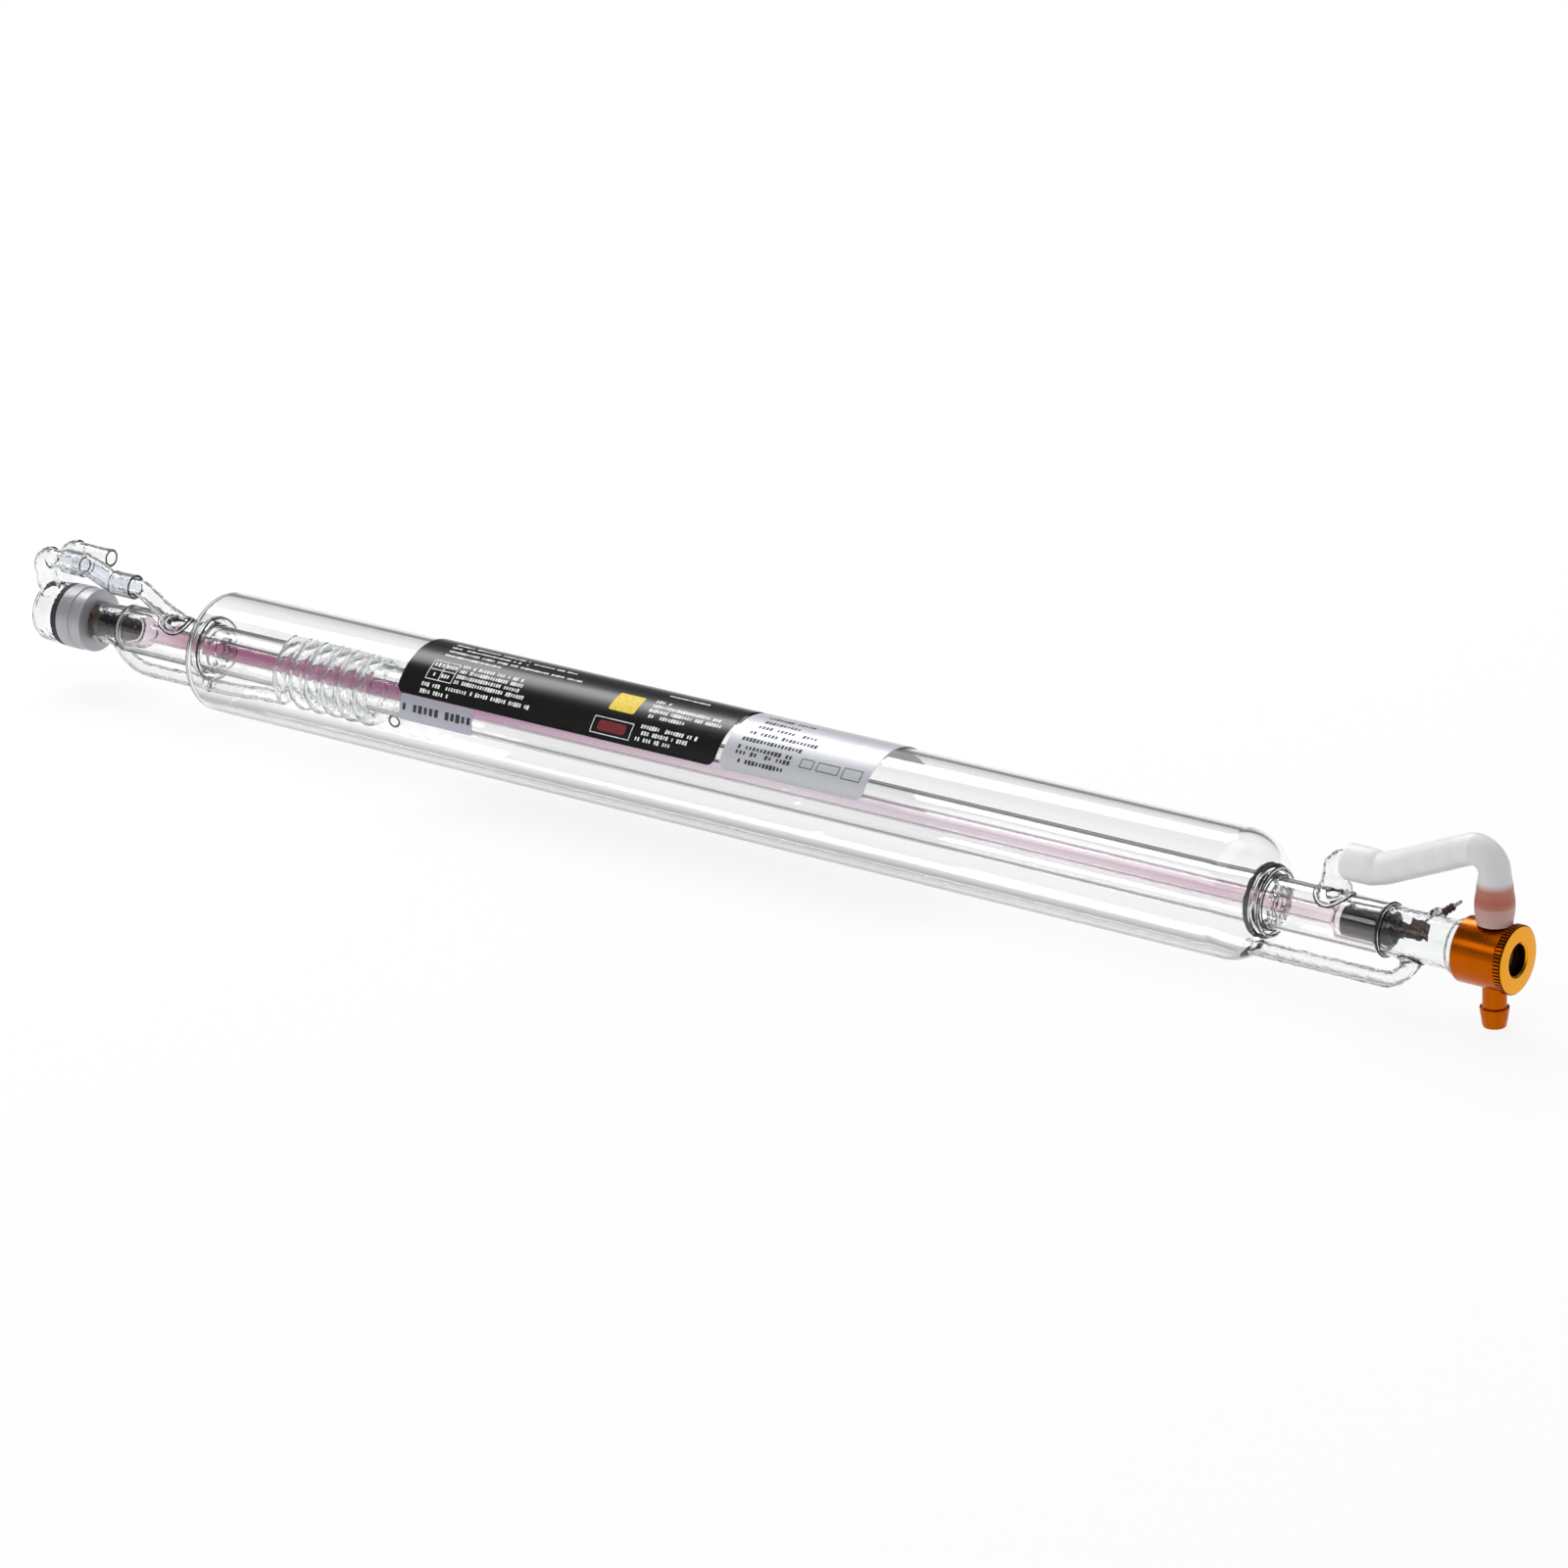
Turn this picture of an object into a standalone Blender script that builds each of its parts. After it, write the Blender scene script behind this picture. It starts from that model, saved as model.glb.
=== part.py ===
"""A water-cooled glass CO2 laser tube, 50 mm across and 720 mm long.

Metres, with +Z up. The X axis is the optical axis and +X is the output end. The origin is on that
axis, halfway along the straight barrel of the outer glass jacket.
"""

from math import asin, atan2, cos, degrees, pi, radians, sin, sqrt, tan

import bmesh
import bpy
from mathutils import Matrix, Vector

# Clearance left between pieces that are fused, glued or screwed together on the real tube
GAP = 0.0003

# Outer gas jacket
JACKET_DIAMETER = 0.0500
JACKET_WALL = 0.0018
BARREL_LENGTH = 0.4980
FRONT_DOME_DEPTH = 0.0172
FRONT_DOME_HEIGHT = 0.0200
REAR_DOME_DEPTH = 0.0105
REAR_DOME_HEIGHT = 0.0248
NECK_BEAD_RADIUS = 0.0139
FRONT_BEAD_DEPTH = 0.0058
REAR_BEAD_DEPTH = 0.0042

# Water jacket, which runs through both necks of the gas jacket
WATER_DIAMETER = 0.0200
WATER_WALL = 0.0015
FRONT_WATER_REACH = 0.0665
REAR_WATER_REACH = 0.0550

# Discharge tube with a wider electrode cup at each end
BORE_DIAMETER = 0.0075
BORE_WALL = 0.0011
CUP_DIAMETER = 0.0150
CUP_WALL = 0.0010
FRONT_CUP_LENGTH = 0.0195
REAR_CUP_LENGTH = 0.0085
CUP_FLARE = 0.0045
SPACER_THICKNESS = 0.0016
SPACER_SLOT_RADIUS = 0.0012
FRONT_SPACER_PAST_BARREL = 0.0190
REAR_SPACER_PAST_BARREL = 0.0040

# Glass end chambers between the water jacket and the mirror mounts
FRONT_CHAMBER_DIAMETER = 0.0190
FRONT_CHAMBER_LENGTH = 0.0322
COLLAR_DIAMETER = 0.0220
COLLAR_LENGTH = 0.0028
REAR_CHAMBER_DIAMETER = 0.0172
REAR_CHAMBER_LENGTH = 0.0170
CHAMBER_WALL = 0.0013

# Glass tubes that join the end chambers to the gas jacket, seen from the front below the axis
SIDE_TUBE_ANGLE = radians(-116)
FRONT_BRIDGE_DIAMETER = 0.0063
FRONT_BRIDGE_INSET = 0.0070
FRONT_BRIDGE_BEND = 0.0095
FRONT_BRIDGE_LEAN = radians(90)
FRONT_BRIDGE_FROM_SEAL = 0.0115
FRONT_BRIDGE_FOOT_DIAMETER = 0.0090
REAR_BRIDGE_DIAMETER = 0.0059
REAR_BRIDGE_INSET = 0.0100
REAR_BRIDGE_BEND = 0.0270
REAR_BRIDGE_LEAN = radians(45)
REAR_BRIDGE_FROM_SEAL = -0.0047
REAR_BRIDGE_FOOT_DIAMETER = 0.0068
REAR_GAS_HOLE_FROM_SEAL = 0.0029
BRIDGE_FOOT_LENGTH = 0.0060
SIDE_TUBE_WALL = 0.0010
BRIDGE_REACH_INSIDE = 0.0020

# Spiral gas return, wound round the water jacket
COIL_TUBE_DIAMETER = 0.0058
COIL_TUBE_WALL = 0.0010
COIL_CLEARANCE = 0.0005
COIL_PITCH = 0.0085
COIL_TURNS = 6
COIL_ENTRY_BEND = 0.0075
COIL_FROM_BARREL_END = 0.0309

# Glass water nipples on the water jacket
FRONT_NIPPLE_DIAMETER = 0.0088
FRONT_NIPPLE_FROM_END = 0.0240
FRONT_NIPPLE_HEIGHT = 0.0233
FRONT_NIPPLE_REACH = 0.0165
FRONT_NIPPLE_BEND = 0.0052
FRONT_NIPPLE_BULGE = 0.0004
FRONT_NIPPLE_FOOT = ((0.0, 0.0072), (0.0045, 0.0066), (0.0080, 0.0052), (0.0120, 0.0044))
REAR_NIPPLE_DIAMETER = 0.0076
REAR_NIPPLE_FROM_END = 0.0370
REAR_NIPPLE_RAKE = 0.0210
REAR_NIPPLE_HEIGHT = 0.0228
REAR_NIPPLE_REACH = 0.0142
REAR_NIPPLE_BEND = 0.0075
REAR_NIPPLE_FOOT = ((0.0, 0.0056), (0.0050, 0.0052), (0.0085, 0.0042), (0.0120, 0.0038))
NIPPLE_WALL = 0.0010

# Electrodes, the cathode's stepped lead plate, and the lead-through pins
ELECTRODE_DIAMETER = 0.0120
ELECTRODE_WALL = 0.0005
ELECTRODE_LIP = 0.0008
CATHODE_LENGTH = 0.0215
CATHODE_PAST_SEAL = 0.0035
ANODE_LENGTH = 0.0140
ANODE_PAST_SEAL = 0.0130
LEAD_THICKNESS = 0.0006
LEAD_INSIDE = 0.0040
LEAD_LOW = 0.0010
LEAD_STEPS = (
    (0.0028, 0.0037),
    (0.0066, 0.0037),
    (0.0070, 0.0066),
    (0.0145, 0.0055),
    (0.0145, -0.0010),
    (0.0028, -0.0020),
)
PIN_DIAMETER = 0.0013
PIN_OUTSIDE = 0.0039
CATHODE_PIN_INSIDE = 0.0080
ARM_BASE_DIAMETER = 0.0066
ARM_TIP_DIAMETER = 0.0046
ARM_BORE = 0.0026
ARM_LENGTH = 0.0026
SLEEVE_DIAMETER = 0.0032
SLEEVE_LENGTH = 0.0050
SLEEVE_RIBS = 3
SLEEVE_RIB_DEPTH = 0.0004
CATHODE_ARM_FROM_SEAL = 0.0185
CATHODE_ARM_ANGLE = radians(71)
CATHODE_ARM_TILT = radians(40)
ANODE_ARM_FROM_SEAL = 0.0085
ANODE_ARM_ANGLE = radians(-25)
ANODE_ARM_TILT = radians(90)

# Anodised output head with its knurled bezel, mirror and seal
HEAD_DIAMETER = 0.0250
HEAD_LENGTH = 0.0185
HEAD_BORE = 0.0150
APERTURE = 0.0120
APERTURE_CHAMFER = 0.0008
BEZEL_DIAMETER = 0.0262
BEZEL_LENGTH = 0.0030
KNURL_TEETH = 36
KNURL_DEPTH = 0.00045
EDGE_CHAMFER = 0.0005
MIRROR_DIAMETER = 0.0170
OUTPUT_MIRROR_THICKNESS = 0.0024
SEAL_THICKNESS = 0.0011
GALLERY_FROM_BORE = 0.0011
GALLERY_DEPTH = 0.0016
GALLERY_WIDTH = 0.0030

# Screwed water barbs, above and below the head
BARB_STEM_DIAMETER = 0.0091
BARB_SHOULDER_DIAMETER = 0.0110
BARB_TIP_DIAMETER = 0.0092
BARB_SHOULDER_HEIGHT = 0.0203
BARB_HEIGHT = 0.0280
BARB_BORE = 0.0050
BARB_SEAT_DEPTH = 0.0016
BARB_FROM_FACE = 0.0067

# Silicone link hose at the front, and clear link hose at the rear
FRONT_HOSE_DIAMETER = 0.0120
FRONT_HOSE_WALL = 0.0019
FRONT_HOSE_BULGE = 0.0150
FRONT_HOSE_CUFF = 0.0137
FRONT_HOSE_KINK = 0.0155
FRONT_HOSE_RISE = 0.0205
FRONT_HOSE_BEND = 0.0080
FRONT_HOSE_EASE = 0.0045
FRONT_HOSE_RUNOUT = 0.0010
REAR_HOSE_DIAMETER = 0.0092
REAR_HOSE_WALL = 0.0011
REAR_HOSE_OVERLAP = 0.0102
REAR_HOSE_EASE = 0.0020
REAR_HOSE_BEND = 0.0120
REAR_HOSE_STRAIGHT = 0.0030

# Rear mirror holder, gasket and blown glass water cap
HOLDER_DIAMETER = 0.0270
HOLDER_STEP = 0.0003
HOLDER_LENGTH = 0.0130
HOLDER_REAR_BAND = 0.0070
HOLDER_BORE = 0.0142
REAR_MIRROR_THICKNESS = 0.0030
GASKET_DIAMETER = 0.0266
GASKET_BORE = 0.0190
GASKET_LENGTH = 0.0025
CAP_DIAMETER = 0.0262
CAP_LENGTH = 0.0122
CAP_WALL = 0.0014
CAP_ROUNDING = 0.0038
CAP_ARM_DIAMETER = 0.0092
CAP_ARM_SPREAD = 0.0080
CAP_ARM_REACH = 0.0240
CAP_NEAR_HEIGHT = 0.0274
CAP_FAR_HEIGHT = 0.0257
CAP_ARM_BEND = 0.0056
CAP_ARM_SHOULDER = 0.0010

# Labels on the gas jacket
LABEL_THICKNESS = 0.0002
LABEL_HALF_ANGLE = radians(63)
LABEL_CORNER = 0.0035
BLACK_LABEL_START = -0.1395
BLACK_LABEL_LENGTH = 0.1600
LABEL_SPACE = 0.0022
GREY_LABEL_LENGTH = 0.0690
SERIAL_LABEL_START = -0.1365
SERIAL_LABEL_LENGTH = 0.0375
SERIAL_LABEL_HEIGHT = 0.0105
SERIAL_LABEL_CORNER = 0.0008

# Facets round a turned piece, by its size, and along a bend
LARGE = 28
MEDIUM = 20
SMALL = 16
FINE = 10
COIL_FACETS = 7
COIL_STEPS_PER_TURN = 11
BEND_STEPS = 5

# Stations along the axis, worked out from the sizes above
JACKET_R = JACKET_DIAMETER / 2
WATER_R = WATER_DIAMETER / 2
WATER_BORE_R = WATER_R - WATER_WALL
BORE_R = BORE_DIAMETER / 2
CUP_R = CUP_DIAMETER / 2
BARREL_END = BARREL_LENGTH / 2
FRONT_DOME = (FRONT_DOME_DEPTH, FRONT_DOME_HEIGHT)
REAR_DOME = (REAR_DOME_DEPTH, REAR_DOME_HEIGHT)
FRONT_BRIDGE_OFFSET = JACKET_R - FRONT_BRIDGE_INSET
REAR_BRIDGE_OFFSET = JACKET_R - REAR_BRIDGE_INSET
FRONT_SEAL = BARREL_END + FRONT_WATER_REACH
REAR_SEAL = -BARREL_END - REAR_WATER_REACH
FRONT_CHAMBER_R = FRONT_CHAMBER_DIAMETER / 2
REAR_CHAMBER_R = REAR_CHAMBER_DIAMETER / 2
HEAD_START = FRONT_SEAL + FRONT_CHAMBER_LENGTH + 2 * GAP
HEAD_END = HEAD_START + HEAD_LENGTH
BEZEL_START = HEAD_END + GAP
BEZEL_END = BEZEL_START + BEZEL_LENGTH
BARB_X = HEAD_END - BARB_FROM_FACE
HOLDER_FRONT = REAR_SEAL - REAR_CHAMBER_LENGTH - 2 * GAP
HOLDER_BACK = HOLDER_FRONT - HOLDER_LENGTH
GASKET_BACK = HOLDER_BACK - GAP - GASKET_LENGTH
CAP_MOUTH = GASKET_BACK - GAP
CAP_BACK = CAP_MOUTH - CAP_LENGTH
FRONT_NIPPLE_X = FRONT_SEAL - FRONT_NIPPLE_FROM_END
REAR_NIPPLE_X = REAR_SEAL + REAR_NIPPLE_FROM_END
CAP_ARM_X = CAP_MOUTH - CAP_LENGTH / 2
COIL_R = WATER_R + COIL_CLEARANCE + COIL_TUBE_DIAMETER / 2

# Colour, roughness, metallic value and transmission of each finish
FINISHES = {
    "borosilicate_glass": ((0.90, 0.93, 0.94), 0.02, 0.0, 1.0),
    "discharge_glass": ((0.80, 0.52, 0.62), 0.05, 0.0, 0.8),
    "anodised_amber": ((0.72, 0.30, 0.01), 0.28, 1.0, 0.0),
    "brushed_aluminium": ((0.52, 0.52, 0.55), 0.38, 1.0, 0.0),
    "blackened_nickel": ((0.05, 0.05, 0.06), 0.22, 1.0, 0.0),
    "bright_steel": ((0.60, 0.60, 0.60), 0.20, 1.0, 0.0),
    "brown_ceramic": ((0.06, 0.02, 0.01), 0.55, 0.0, 0.0),
    "gold_mirror": ((0.90, 0.62, 0.22), 0.05, 1.0, 0.0),
    "zinc_selenide": ((0.62, 0.36, 0.03), 0.04, 0.0, 0.6),
    "black_rubber": ((0.02, 0.02, 0.02), 0.60, 0.0, 0.0),
    "milky_silicone": ((0.80, 0.80, 0.81), 0.45, 0.0, 0.3),
    "clear_hose": ((0.66, 0.69, 0.74), 0.20, 0.0, 0.7),
    "black_label_film": ((0.02, 0.02, 0.02), 0.30, 0.0, 0.0),
    "silver_label_film": ((0.62, 0.63, 0.65), 0.35, 0.0, 0.0),
}


def clear_scene():
    for item in list(bpy.data.objects):
        bpy.data.objects.remove(item)


def finish_for(name, family):
    """A material of its own for one piece."""
    colour, roughness, metallic, transmission = FINISHES[family]
    material = bpy.data.materials.new(f"{name}_{family}")
    material.use_nodes = True
    shader = material.node_tree.nodes["Principled BSDF"]
    shader.inputs["Base Color"].default_value = (*colour, 1.0)
    shader.inputs["Roughness"].default_value = roughness
    shader.inputs["Metallic"].default_value = metallic
    shader.inputs["Transmission Weight"].default_value = transmission
    return material


def piece_from(bm, name, family, sharp=35):
    """Turns a bmesh into a named object with outward faces and smooth shading."""
    bmesh.ops.remove_doubles(bm, verts=bm.verts, dist=1e-7)
    bmesh.ops.dissolve_degenerate(bm, edges=bm.edges, dist=1e-8)
    bmesh.ops.recalc_face_normals(bm, faces=bm.faces)
    mesh = bpy.data.meshes.new(name)
    bm.to_mesh(mesh)
    bm.free()
    mesh.shade_smooth()
    mesh.set_sharp_from_angle(angle=radians(sharp))
    piece = bpy.data.objects.new(name, mesh)
    bpy.context.scene.collection.objects.link(piece)
    if family:
        mesh.materials.append(finish_for(name, family))
    else:
        piece.hide_render = True
        piece.display_type = "WIRE"
    return piece


def lathe(name, family, outline, steps=MEDIUM, ring=True):
    """Turns an outline of (x, r) points about the X axis. A ring's outline closes on itself."""
    bm = bmesh.new()
    corners = [bm.verts.new((x, 0, r)) for x, r in outline]
    pairs = list(zip(corners, corners[1:]))
    if ring:
        pairs.append((corners[-1], corners[0]))
    edges = [bm.edges.new(pair) for pair in pairs]
    bmesh.ops.spin(
        bm,
        geom=corners + edges,
        cent=(0, 0, 0),
        axis=(1, 0, 0),
        angle=2 * pi,
        steps=steps,
        use_merge=True,
    )
    return piece_from(bm, name, family)


def arc(centre, radius, start, end, steps):
    """Points of an arc, by angle from the +X direction towards larger radii."""
    x, r = centre
    angles = [start + (end - start) * i / steps for i in range(steps + 1)]
    return [(x + radius * cos(a), r + radius * sin(a)) for a in angles]


def headings(path):
    """The direction of travel at each point of a path."""
    found = []
    for i in range(len(path)):
        before = path[max(i - 1, 0)]
        after = path[min(i + 1, len(path) - 1)]
        found.append((after - before).normalized())
    return found


def sweep(name, family, path, outer, inner=None, sides=FINE, sharp=50):
    """A tube along a path, or a rod where it has no inner radius. A radius is one value or a list."""
    count = len(path)
    outer = outer if isinstance(outer, list) else [outer] * count
    inner = inner if isinstance(inner, list) else [inner] * count
    bm = bmesh.new()
    ways = headings(path)
    side = ways[0].orthogonal().normalized()
    skins = [[], []]
    for i, point in enumerate(path):
        side = (side - ways[i] * side.dot(ways[i])).normalized()
        other = ways[i].cross(side)
        for skin, radius in zip(skins, (outer[i], inner[i])):
            if radius is None:
                continue
            turns = [2 * pi * k / sides for k in range(sides)]
            skin.append([bm.verts.new(point + radius * (cos(t) * side + sin(t) * other)) for t in turns])
    for skin in skins:
        for low, high in zip(skin, skin[1:]):
            for k in range(sides):
                n = (k + 1) % sides
                bm.faces.new((low[k], low[n], high[n], high[k]))
    for end in (0, -1):
        if skins[1]:
            out, inside = skins[0][end], skins[1][end]
            for k in range(sides):
                n = (k + 1) % sides
                bm.faces.new((out[k], out[n], inside[n], inside[k]))
        else:
            bm.faces.new(skins[0][end])
    return piece_from(bm, name, family, sharp)


def bent_path(corners, radii, steps=BEND_STEPS):
    """Straight runs between corners, with each inner corner bent to its own radius."""
    points = [Vector(corners[0])]
    for i in range(1, len(corners) - 1):
        corner = Vector(corners[i])
        back = (Vector(corners[i - 1]) - corner).normalized()
        ahead = (Vector(corners[i + 1]) - corner).normalized()
        half = back.angle(ahead) / 2
        centre = corner + (back + ahead).normalized() * radii[i - 1] / sin(half)
        first = corner + back * radii[i - 1] / tan(half) - centre
        last = corner + ahead * radii[i - 1] / tan(half) - centre
        points += [centre + radii[i - 1] * first.slerp(last, k / steps) for k in range(steps + 1)]
    points.append(Vector(corners[-1]))
    return points


def distances(path):
    """How far along the path each point lies."""
    found = [0.0]
    for start, end in zip(path, path[1:]):
        found.append(found[-1] + (end - start).length)
    return found


def radius_at(stations, distance):
    """Reads a radius from (distance, radius) stations, straight between them."""
    for (d0, r0), (d1, r1) in zip(stations, stations[1:]):
        if distance <= d1:
            share = max(0.0, (distance - d0) / (d1 - d0))
            return r0 + (r1 - r0) * share
    return stations[-1][1]


def stationed(path, *profiles):
    """Adds a path point at every station of the profiles; gives the points and a radius list for each."""
    far = distances(path)
    marks = [d for stations in profiles for d, _ in stations if 0 < d < far[-1]]
    wanted = [0.0]
    for d in sorted(far[1:] + marks):
        if d - wanted[-1] > GAP / 2:
            wanted.append(d)
    points = []
    for d in wanted:
        k = max(i for i in range(len(far) - 1) if far[i] <= d)
        points.append(path[k].lerp(path[k + 1], (d - far[k]) / (far[k + 1] - far[k])))
    return points, [[radius_at(stations, d) for d in wanted] for stations in profiles]


def around(x, offset, angle):
    """A point at this distance from the axis; the angle runs from +Y towards +Z."""
    return Vector((x, offset * cos(angle), offset * sin(angle)))


def boolean(target, helper, operation):
    modifier = target.modifiers.new(f"{operation.lower()}_{helper.name}", "BOOLEAN")
    modifier.operation = operation
    modifier.object = helper
    modifier.solver = "EXACT"


def cut(target, *helpers):
    for helper in helpers:
        boolean(target, helper, "DIFFERENCE")


def join(target, *helpers):
    for helper in helpers:
        boolean(target, helper, "UNION")


def drill(name, start, end, radius, sides=FINE):
    """A round cutter between two points."""
    return sweep(name, None, [Vector(start), Vector(end)], radius, sides=sides)


def dome_turn(height, wall, radius):
    """The angle along a dome's curve at which it lies this far from the axis."""
    return asin((radius - JACKET_R + height) / (height - wall))


def dome_curve(dome, wall, start, end, steps):
    """Points of a dome's outside, or of its inside where the wall is taken off."""
    depth, height = dome
    angles = [start + (end - start) * i / steps for i in range(steps + 1)]
    low = JACKET_R - height
    return [(BARREL_END + (depth - wall) * cos(a), low + (height - wall) * sin(a)) for a in angles]


def dome_inside(dome, offset):
    """Distance of a dome's inner wall from the middle of the tube, this far from the axis."""
    depth, height = dome
    return BARREL_END + (depth - JACKET_WALL) * cos(dome_turn(height, JACKET_WALL, offset))


def dome_outline(dome, bead_depth):
    """From the barrel over the outside to the neck, round its bead and back along the inside."""
    neck = WATER_R + GAP
    outer = dome_curve(dome, 0, pi / 2, dome_turn(dome[1], 0, neck + EDGE_CHAMFER), 6)
    inner = dome_curve(dome, JACKET_WALL, dome_turn(dome[1], JACKET_WALL, NECK_BEAD_RADIUS), pi / 2, 3)
    tip = outer[-1][0]
    bead = [
        (tip - EDGE_CHAMFER, neck),
        (tip - bead_depth, neck),
        (tip - bead_depth, NECK_BEAD_RADIUS - 2 * EDGE_CHAMFER),
    ]
    return outer + bead + inner


def build_outer_jacket():
    """Blown jacket: a barrel with a dome at each end, closed by a thick bead round each neck."""
    front = dome_outline(FRONT_DOME, FRONT_BEAD_DEPTH)
    rear = [(-x, r) for x, r in reversed(dome_outline(REAR_DOME, REAR_BEAD_DEPTH))]
    jacket = lathe("outer_jacket", "borosilicate_glass", front + rear, LARGE)
    front_hole = drill(
        "front_bridge_hole",
        around(BARREL_END, FRONT_BRIDGE_OFFSET, SIDE_TUBE_ANGLE),
        around(BARREL_END + 2 * FRONT_DOME_DEPTH, FRONT_BRIDGE_OFFSET, SIDE_TUBE_ANGLE),
        FRONT_BRIDGE_DIAMETER / 2 + GAP,
    )
    rear_hole = drill(
        "rear_bridge_hole",
        around(-BARREL_END, REAR_BRIDGE_OFFSET, SIDE_TUBE_ANGLE),
        around(-BARREL_END - 2 * REAR_DOME_DEPTH, REAR_BRIDGE_OFFSET, SIDE_TUBE_ANGLE),
        REAR_BRIDGE_DIAMETER / 2 + GAP,
    )
    cut(jacket, front_hole, rear_hole)


def rear_nipple_top():
    """Where the rear nipple turns back towards the cap, level with the near arm's spread."""
    return Vector((REAR_NIPPLE_X - REAR_NIPPLE_RAKE, -CAP_ARM_SPREAD, REAR_NIPPLE_HEIGHT))


def nipple_lean():
    """The direction in which the rear nipple leaves the water jacket, back and to the near side."""
    return (rear_nipple_top() - Vector((REAR_NIPPLE_X, 0, 0))).normalized()


def build_water_jacket():
    """Long water tube whose ends turn in to seal on the electrode cups."""
    throat = CUP_R + GAP
    wall = [
        (REAR_SEAL, throat),
        (REAR_SEAL, WATER_R - EDGE_CHAMFER),
        (REAR_SEAL + EDGE_CHAMFER, WATER_R),
        (FRONT_SEAL - EDGE_CHAMFER, WATER_R),
        (FRONT_SEAL, WATER_R - EDGE_CHAMFER),
        (FRONT_SEAL, throat),
        (FRONT_SEAL - WATER_WALL, throat),
        (FRONT_SEAL - WATER_WALL, WATER_BORE_R),
        (REAR_SEAL + WATER_WALL, WATER_BORE_R),
        (REAR_SEAL + WATER_WALL, throat),
    ]
    tube = lathe("water_jacket", "borosilicate_glass", wall, MEDIUM)
    front_port = drill(
        "front_water_port",
        (FRONT_NIPPLE_X, 0, BORE_R + 2 * WATER_WALL),
        (FRONT_NIPPLE_X, 0, WATER_DIAMETER),
        FRONT_NIPPLE_DIAMETER / 2 - NIPPLE_WALL,
    )
    lean = nipple_lean()
    base = Vector((REAR_NIPPLE_X, 0, 0))
    rear_port = drill(
        "rear_water_port",
        base + lean * (BORE_R + 2 * WATER_WALL),
        base + lean * WATER_DIAMETER,
        REAR_NIPPLE_DIAMETER / 2 - NIPPLE_WALL,
    )
    cut(tube, front_port, rear_port)


def build_discharge_tube():
    """Narrow bore tube on the axis, flared into a cup round each electrode."""
    front_cup = FRONT_SEAL - FRONT_CUP_LENGTH
    rear_cup = REAR_SEAL + REAR_CUP_LENGTH
    inner = BORE_R - BORE_WALL
    cup_inner = CUP_R - CUP_WALL
    outline = [
        (REAR_SEAL, CUP_R),
        (rear_cup, CUP_R),
        (rear_cup + CUP_FLARE / 2, CUP_R - CUP_WALL),
        (rear_cup + CUP_FLARE, BORE_R),
        (front_cup - CUP_FLARE, BORE_R),
        (front_cup - CUP_FLARE / 2, CUP_R - CUP_WALL),
        (front_cup, CUP_R),
        (FRONT_SEAL, CUP_R),
        (FRONT_SEAL, cup_inner),
        (front_cup + CUP_WALL / 2, cup_inner),
        (front_cup - CUP_FLARE, inner),
        (rear_cup + CUP_FLARE, inner),
        (rear_cup - CUP_WALL / 2, cup_inner),
        (REAR_SEAL, cup_inner),
    ]
    lathe("discharge_tube", "discharge_glass", outline, SMALL)


def build_bore_spacers():
    """Slotted rings that centre the discharge tube inside the water jacket, one in each neck."""
    low = BORE_R + GAP
    high = WATER_BORE_R - GAP
    half = SPACER_THICKNESS / 2
    front_x = BARREL_END + FRONT_SPACER_PAST_BARREL
    rear_x = -BARREL_END - REAR_SPACER_PAST_BARREL
    for name, x in (("front_bore_spacer", front_x), ("rear_bore_spacer", rear_x)):
        outline = [(x - half, low), (x - half, high), (x + half, high), (x + half, low)]
        ring = lathe(name, "borosilicate_glass", outline, SMALL)
        for k in range(4):
            turn = pi / 4 + k * pi / 2
            reach = (low + high) / 2
            slot = drill(
                f"{name}_slot_{k}",
                around(x - SPACER_THICKNESS, reach, turn),
                around(x + SPACER_THICKNESS, reach, turn),
                SPACER_SLOT_RADIUS,
                sides=8,
            )
            cut(ring, slot)


def gas_hole(name, x, chamber_r, tube_radius):
    """Cutter for the hole where a bridge tube opens into a chamber."""
    low = around(x, chamber_r - 3 * CHAMBER_WALL, SIDE_TUBE_ANGLE)
    high = around(x, chamber_r + 3 * CHAMBER_WALL, SIDE_TUBE_ANGLE)
    return drill(name, low, high, tube_radius)


def arm_line(x, chamber_r, angle, tilt):
    """The line of a lead-through arm: its root inside the chamber wall, and its direction."""
    root = around(x, chamber_r - CHAMBER_WALL / 2, angle)
    way = Vector((cos(tilt), 0, 0)) + sin(tilt) * around(0, 1, angle)
    return root, way


def cathode_arm():
    x = FRONT_SEAL + CATHODE_ARM_FROM_SEAL
    return arm_line(x, FRONT_CHAMBER_R, CATHODE_ARM_ANGLE, CATHODE_ARM_TILT)


def anode_arm():
    x = REAR_SEAL - ANODE_ARM_FROM_SEAL
    return arm_line(x, REAR_CHAMBER_R, ANODE_ARM_ANGLE, ANODE_ARM_TILT)


def add_arm(chamber, label, root, way):
    """Joins a short tapered arm to a chamber and returns the cutter that bores it for the pin."""
    tip = root + way * ARM_LENGTH
    inside = root - way * CHAMBER_WALL
    skirt = sweep(f"{label}_arm", None, [inside, tip], [ARM_BASE_DIAMETER / 2, ARM_TIP_DIAMETER / 2])
    join(chamber, skirt)
    inside -= way * 2 * CHAMBER_WALL
    return drill(f"{label}_arm_bore", inside, tip + way * ARM_LENGTH, ARM_BORE / 2, sides=8)


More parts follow.
